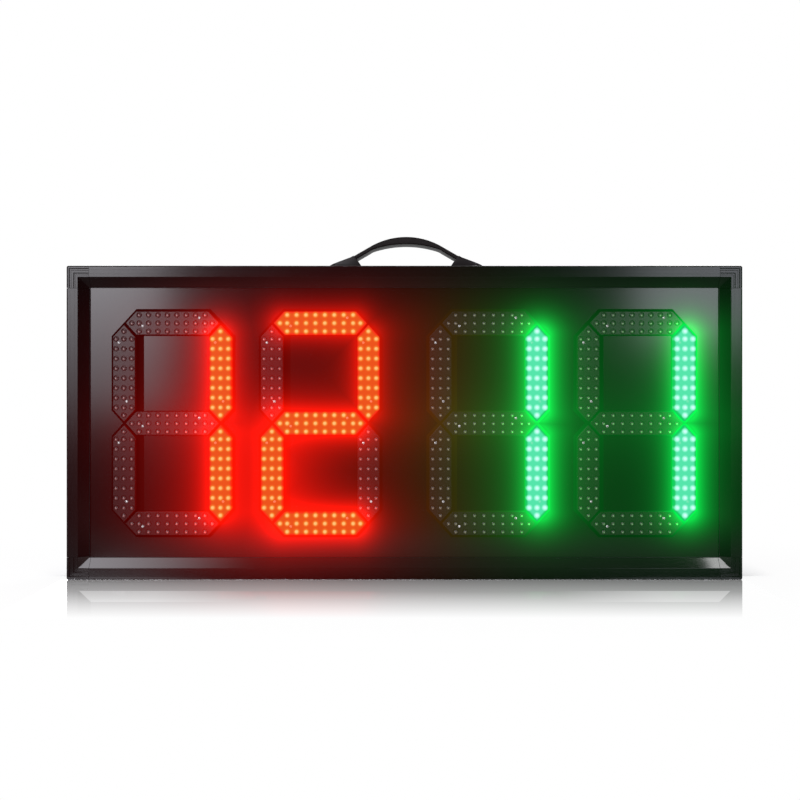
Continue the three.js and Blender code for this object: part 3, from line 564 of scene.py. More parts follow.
def moved_in(outline, distance):
    """Outline moved towards its left side by a distance, with mitred corners: each point goes along
    the sum of the two neighbouring side normals, lengthened so that both sides move alike."""
    ahead = np.roll(outline, -1, axis=0) - outline
    ahead /= np.linalg.norm(ahead, axis=1)[:, None]
    behind = np.roll(ahead, 1, axis=0)
    normals = np.stack([-(ahead + behind)[:, 1], (ahead + behind)[:, 0]], axis=-1)
    scale = 2 / np.maximum((normals**2).sum(1), 1e-9)
    return outline + normals * scale[:, None] * distance


def stack(outline, levels):
    """Rings of an outline at (height, inset) levels, each moved in by its inset."""
    rings = []
    for height, inset in levels:
        rings.append(np.column_stack([moved_in(outline, inset), np.full(len(outline), height)]))
    return rings


def plate(loops):
    """Closed plate with holes through it. Each loop is a list of rings from one face to the other,
    the outline first and then the holes. Quads join the rings, and triangles fill both faces."""
    points = np.concatenate([ring for rings in loops for ring in rings])
    faces = []
    start = 0
    for rings in loops:
        each = np.array(ring_faces(len(rings), len(rings[0])))
        faces += (each + start).tolist()
        start += len(rings) * len(rings[0])
    mesh = bpy.data.meshes.new("plate")
    mesh.from_pydata(points.tolist(), [], faces)
    work = bmesh.new()
    work.from_mesh(mesh)
    bpy.data.meshes.remove(mesh)
    middle = (points[:, 2].min() + points[:, 2].max()) / 2
    for far in (False, True):
        open_edges = [edge for edge in work.edges if edge.is_boundary]
        rim = [edge for edge in open_edges if (edge.verts[0].co.z > middle) == far]
        bmesh.ops.triangle_fill(work, edges=rim, use_beauty=True)
    work.verts.index_update()
    points = np.array([vert.co[:] for vert in work.verts])
    faces = [[vert.index for vert in face.verts] for face in work.faces]
    work.free()
    return points, faces


def circle(radius, sides, centre=(0, 0)):
    """Outline of equal sides with its points on a circle: centre + radius * (cos, sin)."""
    angle = np.arange(sides) * 2 * np.pi / sides
    return np.stack([centre[0] + radius * np.cos(angle), centre[1] + radius * np.sin(angle)], axis=-1)


def turned(profile, sides, centres, height=0.0):
    """Closed bodies turned from one profile of (radius, height) points that starts and ends on the
    axis, one at each centre: point = centre + radius * (cos, sin), with the height added."""
    radius, rise = np.asarray(profile, float).T
    flat = radius[:, None, None] * circle(1, sides) + np.asarray(centres, float)[:, None, None]
    tall = np.broadcast_to((rise + height)[:, None, None], flat.shape[:3] + (1,))
    points = np.concatenate([flat, tall], axis=-1)
    each = np.array(ring_faces(len(radius), sides))
    offsets = np.arange(len(centres)) * len(radius) * sides
    faces = (each[None] + offsets[:, None, None]).reshape(-1, 4).tolist()
    return points.reshape(-1, 3), faces


def tray_size(kind):
    """Half length, half width and length of the point of a tray."""
    low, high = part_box("digit_1_segment_f" if kind == "upright" else "digit_1_segment_a")
    half_x, half_z = (high.x - low.x) / 2, (high.z - low.z) / 2
    if kind == "upright":
        return half_z, half_x, half_x / point_share
    return half_x, half_z, half_z * point_share


def tray_form(kind):
    """Points, faces and material numbers of one tray around its middle, as (along, across, height)
    with height 0 at its back. The shell is material 0 and the lamps are material 1. The lamps hang
    a little low in their wells."""
    pitch, row_pitch, tip_step = tray_inner[kind]
    half_length, half_width, point_length = tray_size(kind)
    flat = half_length - point_length
    half_outline = [(half_length, 0), (flat, half_width), (-flat, half_width)]
    outline = rounded(half_outline + [(-x, -z) for x, z in half_outline], tray_corner, steps=2)
    along = (np.arange(lamps_per_row) - (lamps_per_row - 1) / 2) * pitch
    across = (np.arange(lamp_rows) - (lamp_rows - 1) / 2) * row_pitch
    grid = np.stack(np.meshgrid(along, across, indexing="ij"), axis=-1).reshape(-1, 2)
    tip = along[-1] + tip_step
    centres = np.concatenate([grid, [[tip, 0], [-tip, 0]]])
    wells = [circle(well_radius, lamp_sides, centre)[::-1] for centre in centres]
    levels = [(0, 0), (face_height - tray_edge, 0), (face_height, tray_edge)]
    shell_points, shell_faces = plate([stack(loop, levels) for loop in [outline] + wells])
    bend = np.linspace(0, np.pi / 2, 5)[:-1]
    dome = [(lamp_radius * np.cos(turn), lamp_rise * np.sin(turn)) for turn in bend]
    profile = [(0, -lamp_body), (well_radius, -lamp_body), (well_radius, -well_depth)]
    profile += [(lamp_radius, -well_depth)] + dome + [(0, lamp_rise)]
    lamp_points, lamp_faces = turned(profile, lamp_sides, centres, face_height)
    domes = lamp_points.reshape(len(centres), len(profile), lamp_sides, 3)[:, 3:]
    domes[..., 0 if kind == "upright" else 1] -= lamp_drop
    kinds = np.repeat([0, 0, 0] + [1] * (len(profile) - 4), lamp_sides)
    points = np.concatenate([shell_points, lamp_points])
    faces = shell_faces + [[corner + len(shell_points) for corner in face] for face in lamp_faces]
    tags = np.concatenate([np.zeros(len(shell_faces), int), np.tile(kinds, len(centres))])
    return points, faces, tags


def make_tray_place():
    """Where a point of a tray lies: its distance from the middle of the nearest lamp, and how far
    it is inside the hexagonal outline. The attribute tray_place holds its place along and across."""
    names = ("Pitch", "Row Pitch", "Tip", "Half Length", "Half Width", "Point", "Shift Along", "Shift Across")
    group, given, result = new_group("tray_position", dict.fromkeys(names, 0.01), ["Lamp", "Depth"])
    place = signal(group, "ShaderNodeAttribute", "Vector", attribute_name="tray_place")
    along = abs(place.part("X") + given["Shift Along"])
    across = abs(place.part("Y") + given["Shift Across"])
    column = (along / given["Pitch"]).maths("FLOOR").maths("MINIMUM", lamps_per_row / 2 - 1)
    row = (across / given["Row Pitch"]).maths("ROUND").maths("MINIMUM", (lamp_rows - 1) / 2)
    off = along - (column + 0.5) * given["Pitch"]
    aside = across - row * given["Row Pitch"]
    from_tip = (along - given["Tip"]).hypotenuse(across)
    off.hypotenuse(aside).maths("MINIMUM", from_tip).into(result["Lamp"])
    from_side = given["Half Width"] - across
    from_point = (given["Half Length"] - along) * given["Half Width"] - across * given["Point"]
    from_point = from_point / given["Half Width"].hypotenuse(given["Point"])
    from_side.maths("MINIMUM", from_point).into(result["Depth"])
    return group


tray_position = make_tray_place()


def position_in(tree, kind, drop=0.0):
    """Lamp distance and depth in the outline for a kind of tray. The drop moves the pattern down."""
    pitch, row_pitch, tip_step = tray_inner[kind]
    half_length, half_width, point_length = tray_size(kind)
    return use_group(tree, tray_position, {
        "Pitch": pitch, "Row Pitch": row_pitch, "Tip": (lamps_per_row - 1) / 2 * pitch + tip_step,
        "Half Length": half_length, "Half Width": half_width, "Point": point_length,
        "Shift Along": drop if kind == "upright" else 0.0,
        "Shift Across": 0.0 if kind == "upright" else drop,
    })


def lit_shell(name, kind, edge, inner, halo):
    """Tray moulding lit through by its lamps: pure in colour at its edge, warmer between the lamps
    and lightest round each lamp."""
    material = finish(name, (0.003, 0.003, 0.003), 0.5, specular=0.06)
    where = position_in(material.node_tree, kind)
    field = where["Depth"].blend(*edge_fade, edge, inner)
    shine(material, where["Lamp"].blend(*halo_fade, halo, field))
    return material


def lit_lens(name, kind, core, rim):
    """Lamp lens seen lit: a light core in a deeper rim."""
    material = finish(name, (0.005, 0.005, 0.005), 0.3, specular=0.1)
    lamp = position_in(material.node_tree, kind)["Lamp"]
    shine(material, lamp.blend(*core_fade, core, rim))
    return material


def dark_lens(name, kind):
    """Unlit lamp: a dark clear lens over a small lighter dot for its reflector cup, a little below its
    middle, which carries a painted highlight.
    """
    material = finish(name, (0.02, 0.0175, 0.0175), 0.3, specular=0.34, glow=1.0, variation=0.02)
    shader = surface(material)
    plain, light = fed(shader["Base Color"]), fed(shader["Emission Color"])
    lamp = position_in(material.node_tree, kind, cup_highlight_drop)["Lamp"]
    lamp.blend(*cup_highlight_fade, (0.115, 0.09, 0.084), plain).into(shader["Base Color"])
    # Painted highlight: at the cup the lens gives out several times the painted lamp light round it.
    lamp.blend(*cup_highlight_fade, light * (3.2, 4.6, 3.4), light).into(shader["Emission Color"])
    return material


tray_finish = finish(
    "tray_moulding", (0.007, 0.006, 0.0062), 0.24, grain=1700.0, bump=0.000004, specular=0.16, glow=1.1,
)
# Colours of a lit tray at its edge, between the lamps and round each lamp, and of a lamp's core.
lit_colours = {
    "red": ((0.97, 0.022, 0.002), (0.84, 0.08, 0.003), (0.9, 0.17, 0.015), (1.0, 0.54, 0.17)),
    "green": ((0.005, 0.6, 0.11), (0.085, 0.78, 0.4), (0.26, 0.93, 0.62), (0.62, 1.0, 0.95)),
}
tray_materials = {}
for kind in tray_inner:
    tray_materials["dark", kind] = [tray_finish, dark_lens(f"lens_dark_{kind}", kind)]
    for state, (edge, inner, halo, core) in lit_colours.items():
        tray_materials[state, kind] = [
            lit_shell(f"tray_{state}_lit_{kind}", kind, edge, inner, halo),
            lit_lens(f"lens_{state}_lit_{kind}", kind, core, halo),
        ]
forms = {kind: tray_form(kind) for kind in tray_inner}
tray_slots = {"dark": "tray_black", "red": "tray_lit_red", "green": "tray_lit_green"}
panel_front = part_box("front_panel")[0].y
tray_back = panel_front - joint_gap


def middle_of(node):
    """Middle of a CAD node as (x, z)."""
    low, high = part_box(node)
    return (low.x + high.x) / 2, (low.z + high.z) / 2


def stood_up(points, middle, depth, backwards):
    """World points of a shape worked out as (x, z, height) round its middle. Its heights count from
    a depth, backwards (1) or forwards (-1)."""
    x, z, height = points.T
    return np.stack([middle[0] + x, depth + backwards * height, middle[1] + z], axis=-1)


trays = []
for digit, lit in lit_segments.items():
    for letter in "abcdefg":
        kind = "level" if letter in "adg" else "upright"
        state = ("red" if digit <= 2 else "green") if letter in lit else "dark"
        trays.append((f"{digit}{letter}", f"digit_{digit}_segment_{letter}", kind, state))
for label, node, kind, state in trays:
    points, faces, tags = forms[kind]
    middle = middle_of(node)
    flat = points[:, [1, 0, 2]] if kind == "upright" else points
    piece = new_piece(
        f"tray_{label}", stood_up(flat, middle, tray_back, -1), faces, tray_materials[state, kind], "case",
        replaced=[node], tags=tags,
    )
    corners = np.empty(len(piece.data.vertices) * 3)
    piece.data.vertices.foreach_get("co", corners)
    corners = corners.reshape(-1, 3) - [middle[0], 0, middle[1]]
    local = corners[:, [2, 0, 1]] if kind == "upright" else corners[:, [0, 2, 1]]
    attribute = piece.data.attributes.new("tray_place", "FLOAT_VECTOR", "POINT")
    attribute.data.foreach_set("vector", local.ravel())

# Painted shade: the dark sheet follows the outline of the digit and of its two openings, a little beyond the
# trays, where their dark edges and shadows show, and it has a wide tab on the left of each opening for the
# shadow that falls there. The right digits' sheet gives out more of the painted lamp light.
shade_sheet_rim = 0.0028
shade_sheet_clearance = 0.00002
shadow_tabs = {1: 0.0061, 2: 0.0054, 3: 0.0045, 4: 0.0039}
shade_sheet_finishes = [
    finish(f"painted_shade_sheet_{side}", (0.0005, 0.0005, 0.0005), 0.8, grain=2400.0, specular=0.02, glow=glow)
    for side, glow in (("left", 1.0), ("right", 1.25))
]
level_length, level_width, level_point = tray_size("level")
upright_length, upright_width, upright_point = tray_size("upright")
for digit in lit_segments:
    top_low, top_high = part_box(f"digit_{digit}_segment_a")
    side_low, side_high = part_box(f"digit_{digit}_segment_b")
    low_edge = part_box(f"digit_{digit}_segment_d")[0].z
    middle_x = (top_low.x + top_high.x) / 2
    middle_z = (low_edge + top_high.z) / 2
    reach_x, reach_z = side_high.x - middle_x, top_high.z - middle_z
    inner_x, inner_z = side_low.x - middle_x, top_low.z - middle_z
    cut_x = level_length - level_point
    side_z = (side_low.z + side_high.z) / 2 - middle_z
    cut_z = side_z + upright_length - upright_point
    turn_z = side_z - upright_length + upright_point
    waist_x = reach_x - turn_z * upright_width / upright_point
    quarter = [(waist_x, 0), (reach_x, turn_z), (reach_x, cut_z), (cut_x, reach_z)]
    outer = quarter + [(-x, z) for x, z in reversed(quarter)] + [(-x, -z) for x, z in quarter[1:]]
    outer += [(x, -z) for x, z in reversed(quarter[1:])]
    loops = [np.array(outer)]
    tab_x = shadow_tabs[digit] - inner_x
    for side in (1, -1):
        hole = [(cut_x, inner_z), (inner_x, cut_z), (inner_x, turn_z), (cut_x, level_width)]
        hole = np.array(hole + [(tab_x, level_width), (tab_x, inner_z)]) * [1, side]
        loops.append(hole if side == 1 else hole[::-1])
    rims = [-shade_sheet_rim, -shade_sheet_rim / 3, -shade_sheet_rim / 3]
    heights = (shade_sheet_clearance, joint_gap - shade_sheet_clearance)
    rings = [stack(loop, [(height, rim) for height in heights]) for loop, rim in zip(loops, rims)]
    points, faces = plate(rings)
    placed = stood_up(points, (middle_x, middle_z), panel_front, -1)
    new_piece(f"digit_shade_sheet_{digit}", placed, faces, [shade_sheet_finishes[digit > 2]], "case")

# Tray screws. Two small pan-head screws hold each tray, between the lamps of its outer rows near both ends:
# bright zinc on dark trays, and on lit trays dark heads that give out a fixed red or green, painted lamp
# light.
screw_radius = 0.0012
screw_rise = 0.0007
screw_skirt = 0.0002
screw_offset = 0.0011
screw_column = 3


def screw_heads(centres, radius, rise):
    """Cross-head screw heads around centres: a low dome on a polar grid, with a cross cut down into
    it where one of two bars covers the point: min(abs(x), abs(z)) under half the bar's width."""
    sides, rings = 24, 7
    share = np.concatenate([np.linspace(0, 1, rings), [1]])
    x, z = radius * share[:, None] * circle(1, sides).T[:, None]
    dome = rise * np.sqrt(1 - (share * 0.9) ** 2)[:, None]
    cross = (np.minimum(abs(x), abs(z)) < radius * 0.16) & (np.hypot(x, z) < radius * 0.62)
    dome = np.where(cross, dome - rise * 0.7, dome)
    dome[-1] = -screw_skirt
    head = np.stack([x, z, dome], axis=-1).reshape(-1, 3)
    underside = list(range(rings * sides, (rings + 1) * sides))
    points, faces = [], []
    for index, centre in enumerate(centres):
        points.append(head + [*centre, 0])
        for face in ring_faces(rings + 1, sides) + [underside]:
            faces.append([corner + index * len(head) for corner in face])
    return np.concatenate(points), faces


screw_finishes = [finish(
    "screw_zinc", (0.55, 0.54, 0.53), 0.38, metallic=0.85, grain=3000.0, bump=0.00001, glow=0.5,
)]
# Screws on lit trays are dark and give out a fixed red or green: painted lamp light on them.
for name, colour in (("red", (0.95, 0.13, 0.02)), ("green", (0.1, 0.7, 0.36))):
    lit_screw = finish(f"screw_in_{name}_light", (0.06, 0.06, 0.06), 0.4, grain=3000.0, bump=0.00001)
    shine(lit_screw, colour)
    screw_finishes.append(lit_screw)
screw_places, screw_kinds = [], []
for label, node, kind, state in trays:
    x, z = middle_of(node)
    pitch, row_pitch, _ = tray_inner[kind]
    for end in (1, -1):
        along, across = end * screw_column * pitch, end * row_pitch / 2
        shift = (-across, along) if kind == "upright" else (along, across)
        screw_places.append((x + shift[0] - screw_offset, z + shift[1] + screw_offset))
        screw_kinds.append(list(tray_slots).index(state))
points, faces = screw_heads(screw_places, screw_radius, screw_rise)
placed = stood_up(points, (0, 0), tray_back - face_height, -1)
new_piece(
    "tray_screws", placed, faces, screw_finishes, "case",
    tags=np.repeat(screw_kinds, len(faces) // len(screw_kinds)),
)

# Inside parts. Green circuit boards with black chips and headers, one behind each digit and one
# behind the keypad, and a battery pack of round cells in a blue shrink sleeve under two steel straps.
board_thickness = 0.0016
pin_length = 0.0036
track_scale = 260.0
mask_skin = 0.0001
driver_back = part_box("driver_board_1")[1].y - pin_length
control_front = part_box("control_board")[0].y + pin_length


def board_finish(name, board_front):
    """Solder mask with copper tracks under it on the board itself, which lies between two depths,
    and black plastic on what stands off it."""
    material = finish(name, (0.012, 0.075, 0.03), 0.3, grain=1500.0, bump=0.00001)
    tree = material.node_tree
    colour = surface(material)["Base Color"]
    place = place_in(tree)
    pattern = {"Vector": place, "Scale": track_scale}
    cells = signal(tree, "ShaderNodeTexVoronoi", "Distance", pattern, distance="CHEBYCHEV")
    board = (cells > 0.5).mix(fed(colour), (0.03, 0.16, 0.06))
    away = abs(place.part("Y") - (board_front + board_thickness / 2))
    standing_off = away > board_thickness / 2 + mask_skin
    standing_off.mix(board, (0.015, 0.015, 0.016)).into(colour)
    return material


driver_finish = board_finish("driver_board_mask", driver_back - board_thickness)
for digit in lit_segments:
    dress(f"driver_board_{digit}", driver_finish)
dress("control_board", board_finish("control_board_mask", control_front))
dress("battery_pack", finish(
    "shrink_sleeve", (0.02, 0.09, 0.32), 0.3, grain=700.0, stretch=(0.15, 1, 1), bump=0.00008, patch=0.35,
))
strap_steel = finish(
    "zinc_strap", (0.55, 0.55, 0.53), 0.34, metallic=1.0, grain=2200.0, stretch=(1, 0.05, 0.05), bump=0.00001,
)
for side in ("left", "right"):
    dress(f"battery_strap_{side}", strap_steel)

# Rear cover. A powder-coated aluminium sheet, sunk behind the rear rim of the frame and held on the
# ledge of the rails by black pan-head screws.
dress("rear_cover", finish(
    "powder_coat", (0.012, 0.012, 0.0125), 0.5, grain=1100.0, bump=0.00006, specular=0.4,
))
cover_screw_radius = 0.003
cover_screw_rise = 0.0014
cover_screw_inset = 0.0162
cover_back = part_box("rear_cover")[1].y
black_screw = finish("screw_black", (0.03, 0.03, 0.032), 0.3, metallic=0.7, grain=3000.0, bump=0.00001)
across = frame_high.x - cover_screw_inset
low_row = frame_low.z + cover_screw_inset
high_row = frame_high.z - cover_screw_inset
cover_screws = [(x, z) for z in (low_row, high_row) for x in (-across, -across / 3, across / 3, across)]
cover_screws += [(x, (low_row + high_row) / 2) for x in (-across, across)]
points, faces = screw_heads(cover_screws, cover_screw_radius, cover_screw_rise)
placed = stood_up(points, (0, 0), cover_back, 1)
new_piece("cover_screws", placed, faces, [black_screw], "case")

# Keypad. A moulded bezel is screwed over a cut-out in the cover, and a sprung rubber key for each
# digit stands through it. The keys are dished across for the finger.
bezel_low, bezel_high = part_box("keypad_bezel")
controls_height = middle_of("keypad_bezel")[1]
bezel_seat = cover_back + joint_gap
bezel_margin = 0.007
bezel_round = 0.0011
bezel_corner = 0.005
bezel_screw_inset = 0.0045
bezel_screw_radius = 0.0018
key_width = 0.014
key_height = 0.012
key_round = 0.0009
key_corner = 0.0024
key_dish = 0.0011
key_flange = 0.0012
flange_corner = 0.002
collar_corner = 0.002
opening_corner = 0.0023
opening_round = 0.0005


def rounded_rectangle(width, height, radius):
    """Outline of a rectangle around the middle, with rounded corners."""
    corners = [(side * width / 2, level * height / 2) for side, level in ((1, 1), (-1, 1), (-1, -1), (1, -1))]
    return rounded(corners, radius, steps=5)


def rolled(outline, height, size):
    """Rings of an outline at the rounded edge of a top face: each goes in by size * (1 - cos) and
    up by size * sin of the angle of the roll, from the side wall to the face."""
    angle = np.linspace(0, np.pi / 2, 4)
    return stack(outline, zip(height - size + size * np.sin(angle), size * (1 - np.cos(angle))))


bezel_width, bezel_height = bezel_high.x - bezel_low.x, bezel_high.z - bezel_low.z
plate_outline = rounded_rectangle(bezel_width, bezel_height, bezel_corner)
collar_width, collar_height = bezel_width - 2 * bezel_margin, bezel_height - 2 * bezel_margin
collar_outline = rounded_rectangle(collar_width, collar_height, collar_corner)
outer = stack(collar_outline, [(bezel_low.y, 0), (bezel_seat, 0)]) + stack(plate_outline, [(bezel_seat, 0)])
outer += rolled(plate_outline, bezel_high.y, bezel_round)
loops = [outer]
opening = rounded_rectangle(key_width + 2 * joint_gap, key_height + 2 * joint_gap, opening_corner)
for number in range(1, 5):
    hole = opening[::-1] + [middle_of(f"digit_key_{number}")[0], 0]
    loops.append(stack(hole, [(bezel_low.y, 0)]) + rolled(hole, bezel_high.y, opening_round))
points, faces = plate(loops)
moulding_finish = finish(
    "black_moulding", (0.014, 0.014, 0.0145), 0.42, grain=1300.0, bump=0.00003, specular=0.4,
)
new_piece(
    "keypad_plate", stood_up(points, (0, controls_height), 0, 1), faces, [moulding_finish], "case",
    replaced=["keypad_bezel"],
)
bezel_screws = [
    (x, side * (bezel_height / 2 - bezel_screw_inset))
    for x in (bezel_low.x + bezel_screw_inset, bezel_high.x - bezel_screw_inset)
    for side in (-1, 1)
]
points, faces = screw_heads(bezel_screws, bezel_screw_radius, screw_rise)
placed = stood_up(points, (0, controls_height), bezel_high.y, 1)
new_piece("keypad_screws", placed, faces, [black_screw], "case")

key_finish = finish(
    "key_rubber", (0.045, 0.046, 0.052), 0.62, grain=2000.0, bump=0.00002, specular=0.35,
)
for number in range(1, 5):
    low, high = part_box(f"digit_key_{number}")
    flange = rounded_rectangle(high.x - low.x, high.z - low.z, flange_corner)
    cap = rounded_rectangle(key_width, key_height, key_corner)
    rings = stack(flange, [(low.y, 0), (low.y + key_flange, 0)]) + stack(cap, [(low.y + key_flange, 0)])
    top = rolled(cap, high.y, key_round)
    inner = top[-1][:, :2]
    for share in (0.85, 0.65, 0.45, 0.25, 0.08):
        top.append(np.column_stack([inner * share, np.full(len(inner), high.y)]))
    for ring in top:
        ring[:, 2] -= key_dish * (1 - (2 * ring[:, 0] / key_width) ** 2)
    middle = (middle_of(f"digit_key_{number}")[0], controls_height)
    placed = stood_up(np.concatenate(rings + top), middle, 0, 1)
    new_piece(
        f"key_cap_{number}", placed, ring_faces(len(rings + top), len(cap), closed=True), [key_finish],
        f"key_{number}", replaced=[f"digit_key_{number}"], smooth_angle=50,
    )

# Power switch. A black snap-in housing in the rear cover, whose glossy red rocker tips between on, at
# the top, and off. The marks I and O are printed on the rocker.
bar_half_width = 0.00035
bar_half_height = 0.0016
ring_radius = 0.0014
ring_half_width = 0.0003
mark_reach = 0.0041


def dressed_copy(name, node, material, body, width, segments=3):
    """A copy of a CAD node with its doubles merged, its flat faces joined and its edges rounded."""
    mesh = nodes[node].data.copy()
    work = bmesh.new()
    work.from_mesh(mesh)
    bmesh.ops.remove_doubles(work, verts=work.verts, dist=1e-6)
    bmesh.ops.dissolve_limit(work, angle_limit=math.radians(1), verts=work.verts, edges=work.edges)
    work.to_mesh(mesh)
    work.free()
    mesh.name = name
    mesh.materials.clear()
    mesh.materials.append(material)
    mesh.shade_smooth()
    piece = bpy.data.objects.new(name, mesh)
    bpy.context.scene.collection.objects.link(piece)
    edges = piece.modifiers.new("rounding", "BEVEL")
    edges.width = width
    edges.segments = segments
    edges.limit_method = "ANGLE"
    edges.angle_limit = math.radians(30)
    edges.harden_normals = True
    edges.use_clamp_overlap = True
    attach(piece, body)
    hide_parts(node)


dressed_copy(
    "switch_frame", "power_switch_housing", moulding_finish, "case", width=0.0003,
    segments=2,
)
rocker_finish = finish("rocker_gloss", (0.42, 0.012, 0.01), 0.22, grain=1600.0, bump=0.000005, patch=0.08)
place = place_in(rocker_finish.node_tree)
aside = place.part("X") - middle_of("power_rocker")[0]
above = place.part("Z") - controls_height
bar = (abs(aside) < bar_half_width) * (abs(above - mark_reach) < bar_half_height)
ring = abs(aside.hypotenuse(above + mark_reach) - ring_radius) < ring_half_width
marks = bar.maths("MAXIMUM", ring) * (place.part("Y") > bezel_seat)
red = surface(rocker_finish)["Base Color"]
marks.mix(fed(red), (0.8, 0.8, 0.78)).into(red)
dressed_copy("rocker_cap", "power_rocker", rocker_finish, "rocker", width=0.0004)

# Charging socket. A round moulded jack with a nickel-plated sleeve and centre pin. Its threaded barrel
# goes through the rear cover up to the flange. One profile is turned about its axis.
socket_low, socket_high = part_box("charge_socket")
flange_radius = (socket_high.x - socket_low.x) / 2
barrel_radius = 0.0056
bore_radius = 0.0028
pin_radius = 0.00105
bore_floor = socket_high.y - 0.010
pin_top = socket_high.y - 0.001
thread_start = bezel_seat - 0.0015
thread_step = 0.0005
thread_depth = 0.00035
fine_bevel = 0.0002
face_bevel = 0.0007
mouth_step = 0.0005
sleeve_wall = 0.0009
sleeve_margin = 0.0012
jack_sides = 40
threads = []
for index in range(20, -1, -1):
    threads.append((barrel_radius - index % 2 * thread_depth, thread_start - index * thread_step))
profile = [(0, socket_low.y), (barrel_radius, socket_low.y)] + threads + [
    (barrel_radius, bezel_seat),
    (flange_radius - fine_bevel, bezel_seat),
    (flange_radius, bezel_seat + fine_bevel),
    (flange_radius, socket_high.y - face_bevel),
    (flange_radius - fine_bevel, socket_high.y - fine_bevel),
    (flange_radius - face_bevel, socket_high.y),
    (bore_radius + sleeve_margin, socket_high.y),
    (bore_radius + sleeve_wall, socket_high.y - mouth_step),
    (bore_radius, socket_high.y - mouth_step),
    (bore_radius, bore_floor),
    (pin_radius, bore_floor),
    (pin_radius, pin_top - mouth_step),
    (pin_radius * 0.5, pin_top),
    (0, pin_top),
]
points, faces = turned(profile, jack_sides, [middle_of("charge_socket")])
nickel_finish = finish("nickel_contact", (0.7, 0.68, 0.64), 0.22, metallic=1.0, grain=3000.0)
socket_kinds = [0] * (len(profile) - 6) + [1] * 5
new_piece(
    "charge_jack", stood_up(points, (0, 0), 0, 1), faces, [moulding_finish, nickel_finish], "case",
    replaced=["charge_socket"], tags=np.repeat(socket_kinds, jack_sides),
)

# Carrying strap. One moulding of soft black rubber with an arched grip and straight arms, whose ends
# are screwed to the top rail under two caps.
strap_low, strap_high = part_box("handle_strap")
strap_middle = (strap_low.x + strap_high.x) / 2
strap_foot = strap_low.z
rail_top = frame_high.z
grip_rise = strap_high.z - rail_top
grip_gap = 0.0212
top_radius = 0.066
under_radius = 0.097
arm_angle = math.radians(30)
arm_thickness = 0.0037
cap_mouth_height = 0.010
neck_drop = 0.0018
neck_length = 0.008
tab_thickness = 0.0018
strap_round = 0.0013
arm_run_in, arm_run_out = 0.003, 0.001
corner_steps = 6
grip_end = top_radius * math.sin(arm_angle)
grip_end_height = grip_rise - top_radius * (1 - math.cos(arm_angle))
cap_mouth = grip_end + (grip_end_height - cap_mouth_height) / math.tan(arm_angle)
strap_end = (strap_high.x - strap_low.x) / 2


def strap_heights(distance):
    """Upper and lower height over the rail at a distance from the middle: arcs over the grip, then
    straight lines down the arms, and a flat tab at the end. The grip's underside runs into the arm
    over a few millimetres."""
    arm_top = grip_end_height - (distance - grip_end) * math.tan(arm_angle)
    arch = grip_rise - top_radius + np.sqrt(top_radius**2 - np.minimum(distance, grip_end) ** 2)
    upper = np.where(distance < grip_end, arch, arm_top)
    bend = cap_mouth + neck_length
    bend_height = grip_end_height - (bend - grip_end) * math.tan(arm_angle) - neck_drop
    tab_top = strap_foot - rail_top + tab_thickness
    tab = bend_height + (distance - bend) / (strap_end - bend) * (tab_top - bend_height)
    upper = np.where(distance > cap_mouth, arm_top - neck_drop, upper)
    upper = np.where(distance > bend, tab, upper)
    arc = grip_gap - under_radius + np.sqrt(under_radius**2 - distance**2)
    arm = arm_top - arm_thickness / math.cos(arm_angle)
    share = np.clip((distance - grip_end + arm_run_in) / (arm_run_in + arm_run_out), 0, 1)
    share = share * share * (3 - 2 * share)
    lower = np.maximum(arc * (1 - share) + arm * share, strap_foot - rail_top)
    return upper, lower


def strap_rings(places, half_width, corner):
    """Rounded-rectangle rings at places along the strap: each corner of the section is a quarter
    circle, cut back where the strap is thinner than two corners."""
    upper, lower = strap_heights(abs(places))
    half = (upper - lower) / 2
    radius = np.minimum(corner, half * 0.9)[:, None]
    turns = np.arange(4) * np.pi / 2
    angle = np.concatenate([np.linspace(turn, turn + np.pi / 2, corner_steps) for turn in turns])
    side = np.repeat([1, -1, -1, 1], corner_steps)
    level = np.repeat([1, 1, -1, -1], corner_steps)
    y = side * (half_width - radius) + radius * np.cos(angle)
    z = ((upper + lower) / 2)[:, None] + level * (half[:, None] - radius) + radius * np.sin(angle)
    x = np.repeat(places[:, None], len(angle), axis=1)
    return np.stack([x + strap_middle, y, z + rail_top], axis=-1).reshape(-1, 3), len(angle)


grip_stations = np.linspace(0, grip_end + 0.002, 24)
arm_stations = np.linspace(grip_end + 0.003, cap_mouth, 6)
end_stations = [cap_mouth + 0.0001, cap_mouth + neck_length, strap_end]
stations = np.concatenate([grip_stations, arm_stations, end_stations])
stations = np.concatenate([-stations[:0:-1], stations])
points, count = strap_rings(stations, (strap_high.y - strap_low.y) / 2, strap_round)
strap_finish = finish(
    "strap_rubber", (0.006, 0.0036, 0.0033), 0.5, grain=900.0, bump=0.00005, specular=0.14, patch=0.2,
)
new_piece(
    "strap_loop", points, ring_faces(len(stations), count, closed=True), [strap_finish], "case",
    replaced=["handle_strap"], smooth_angle=45,
)

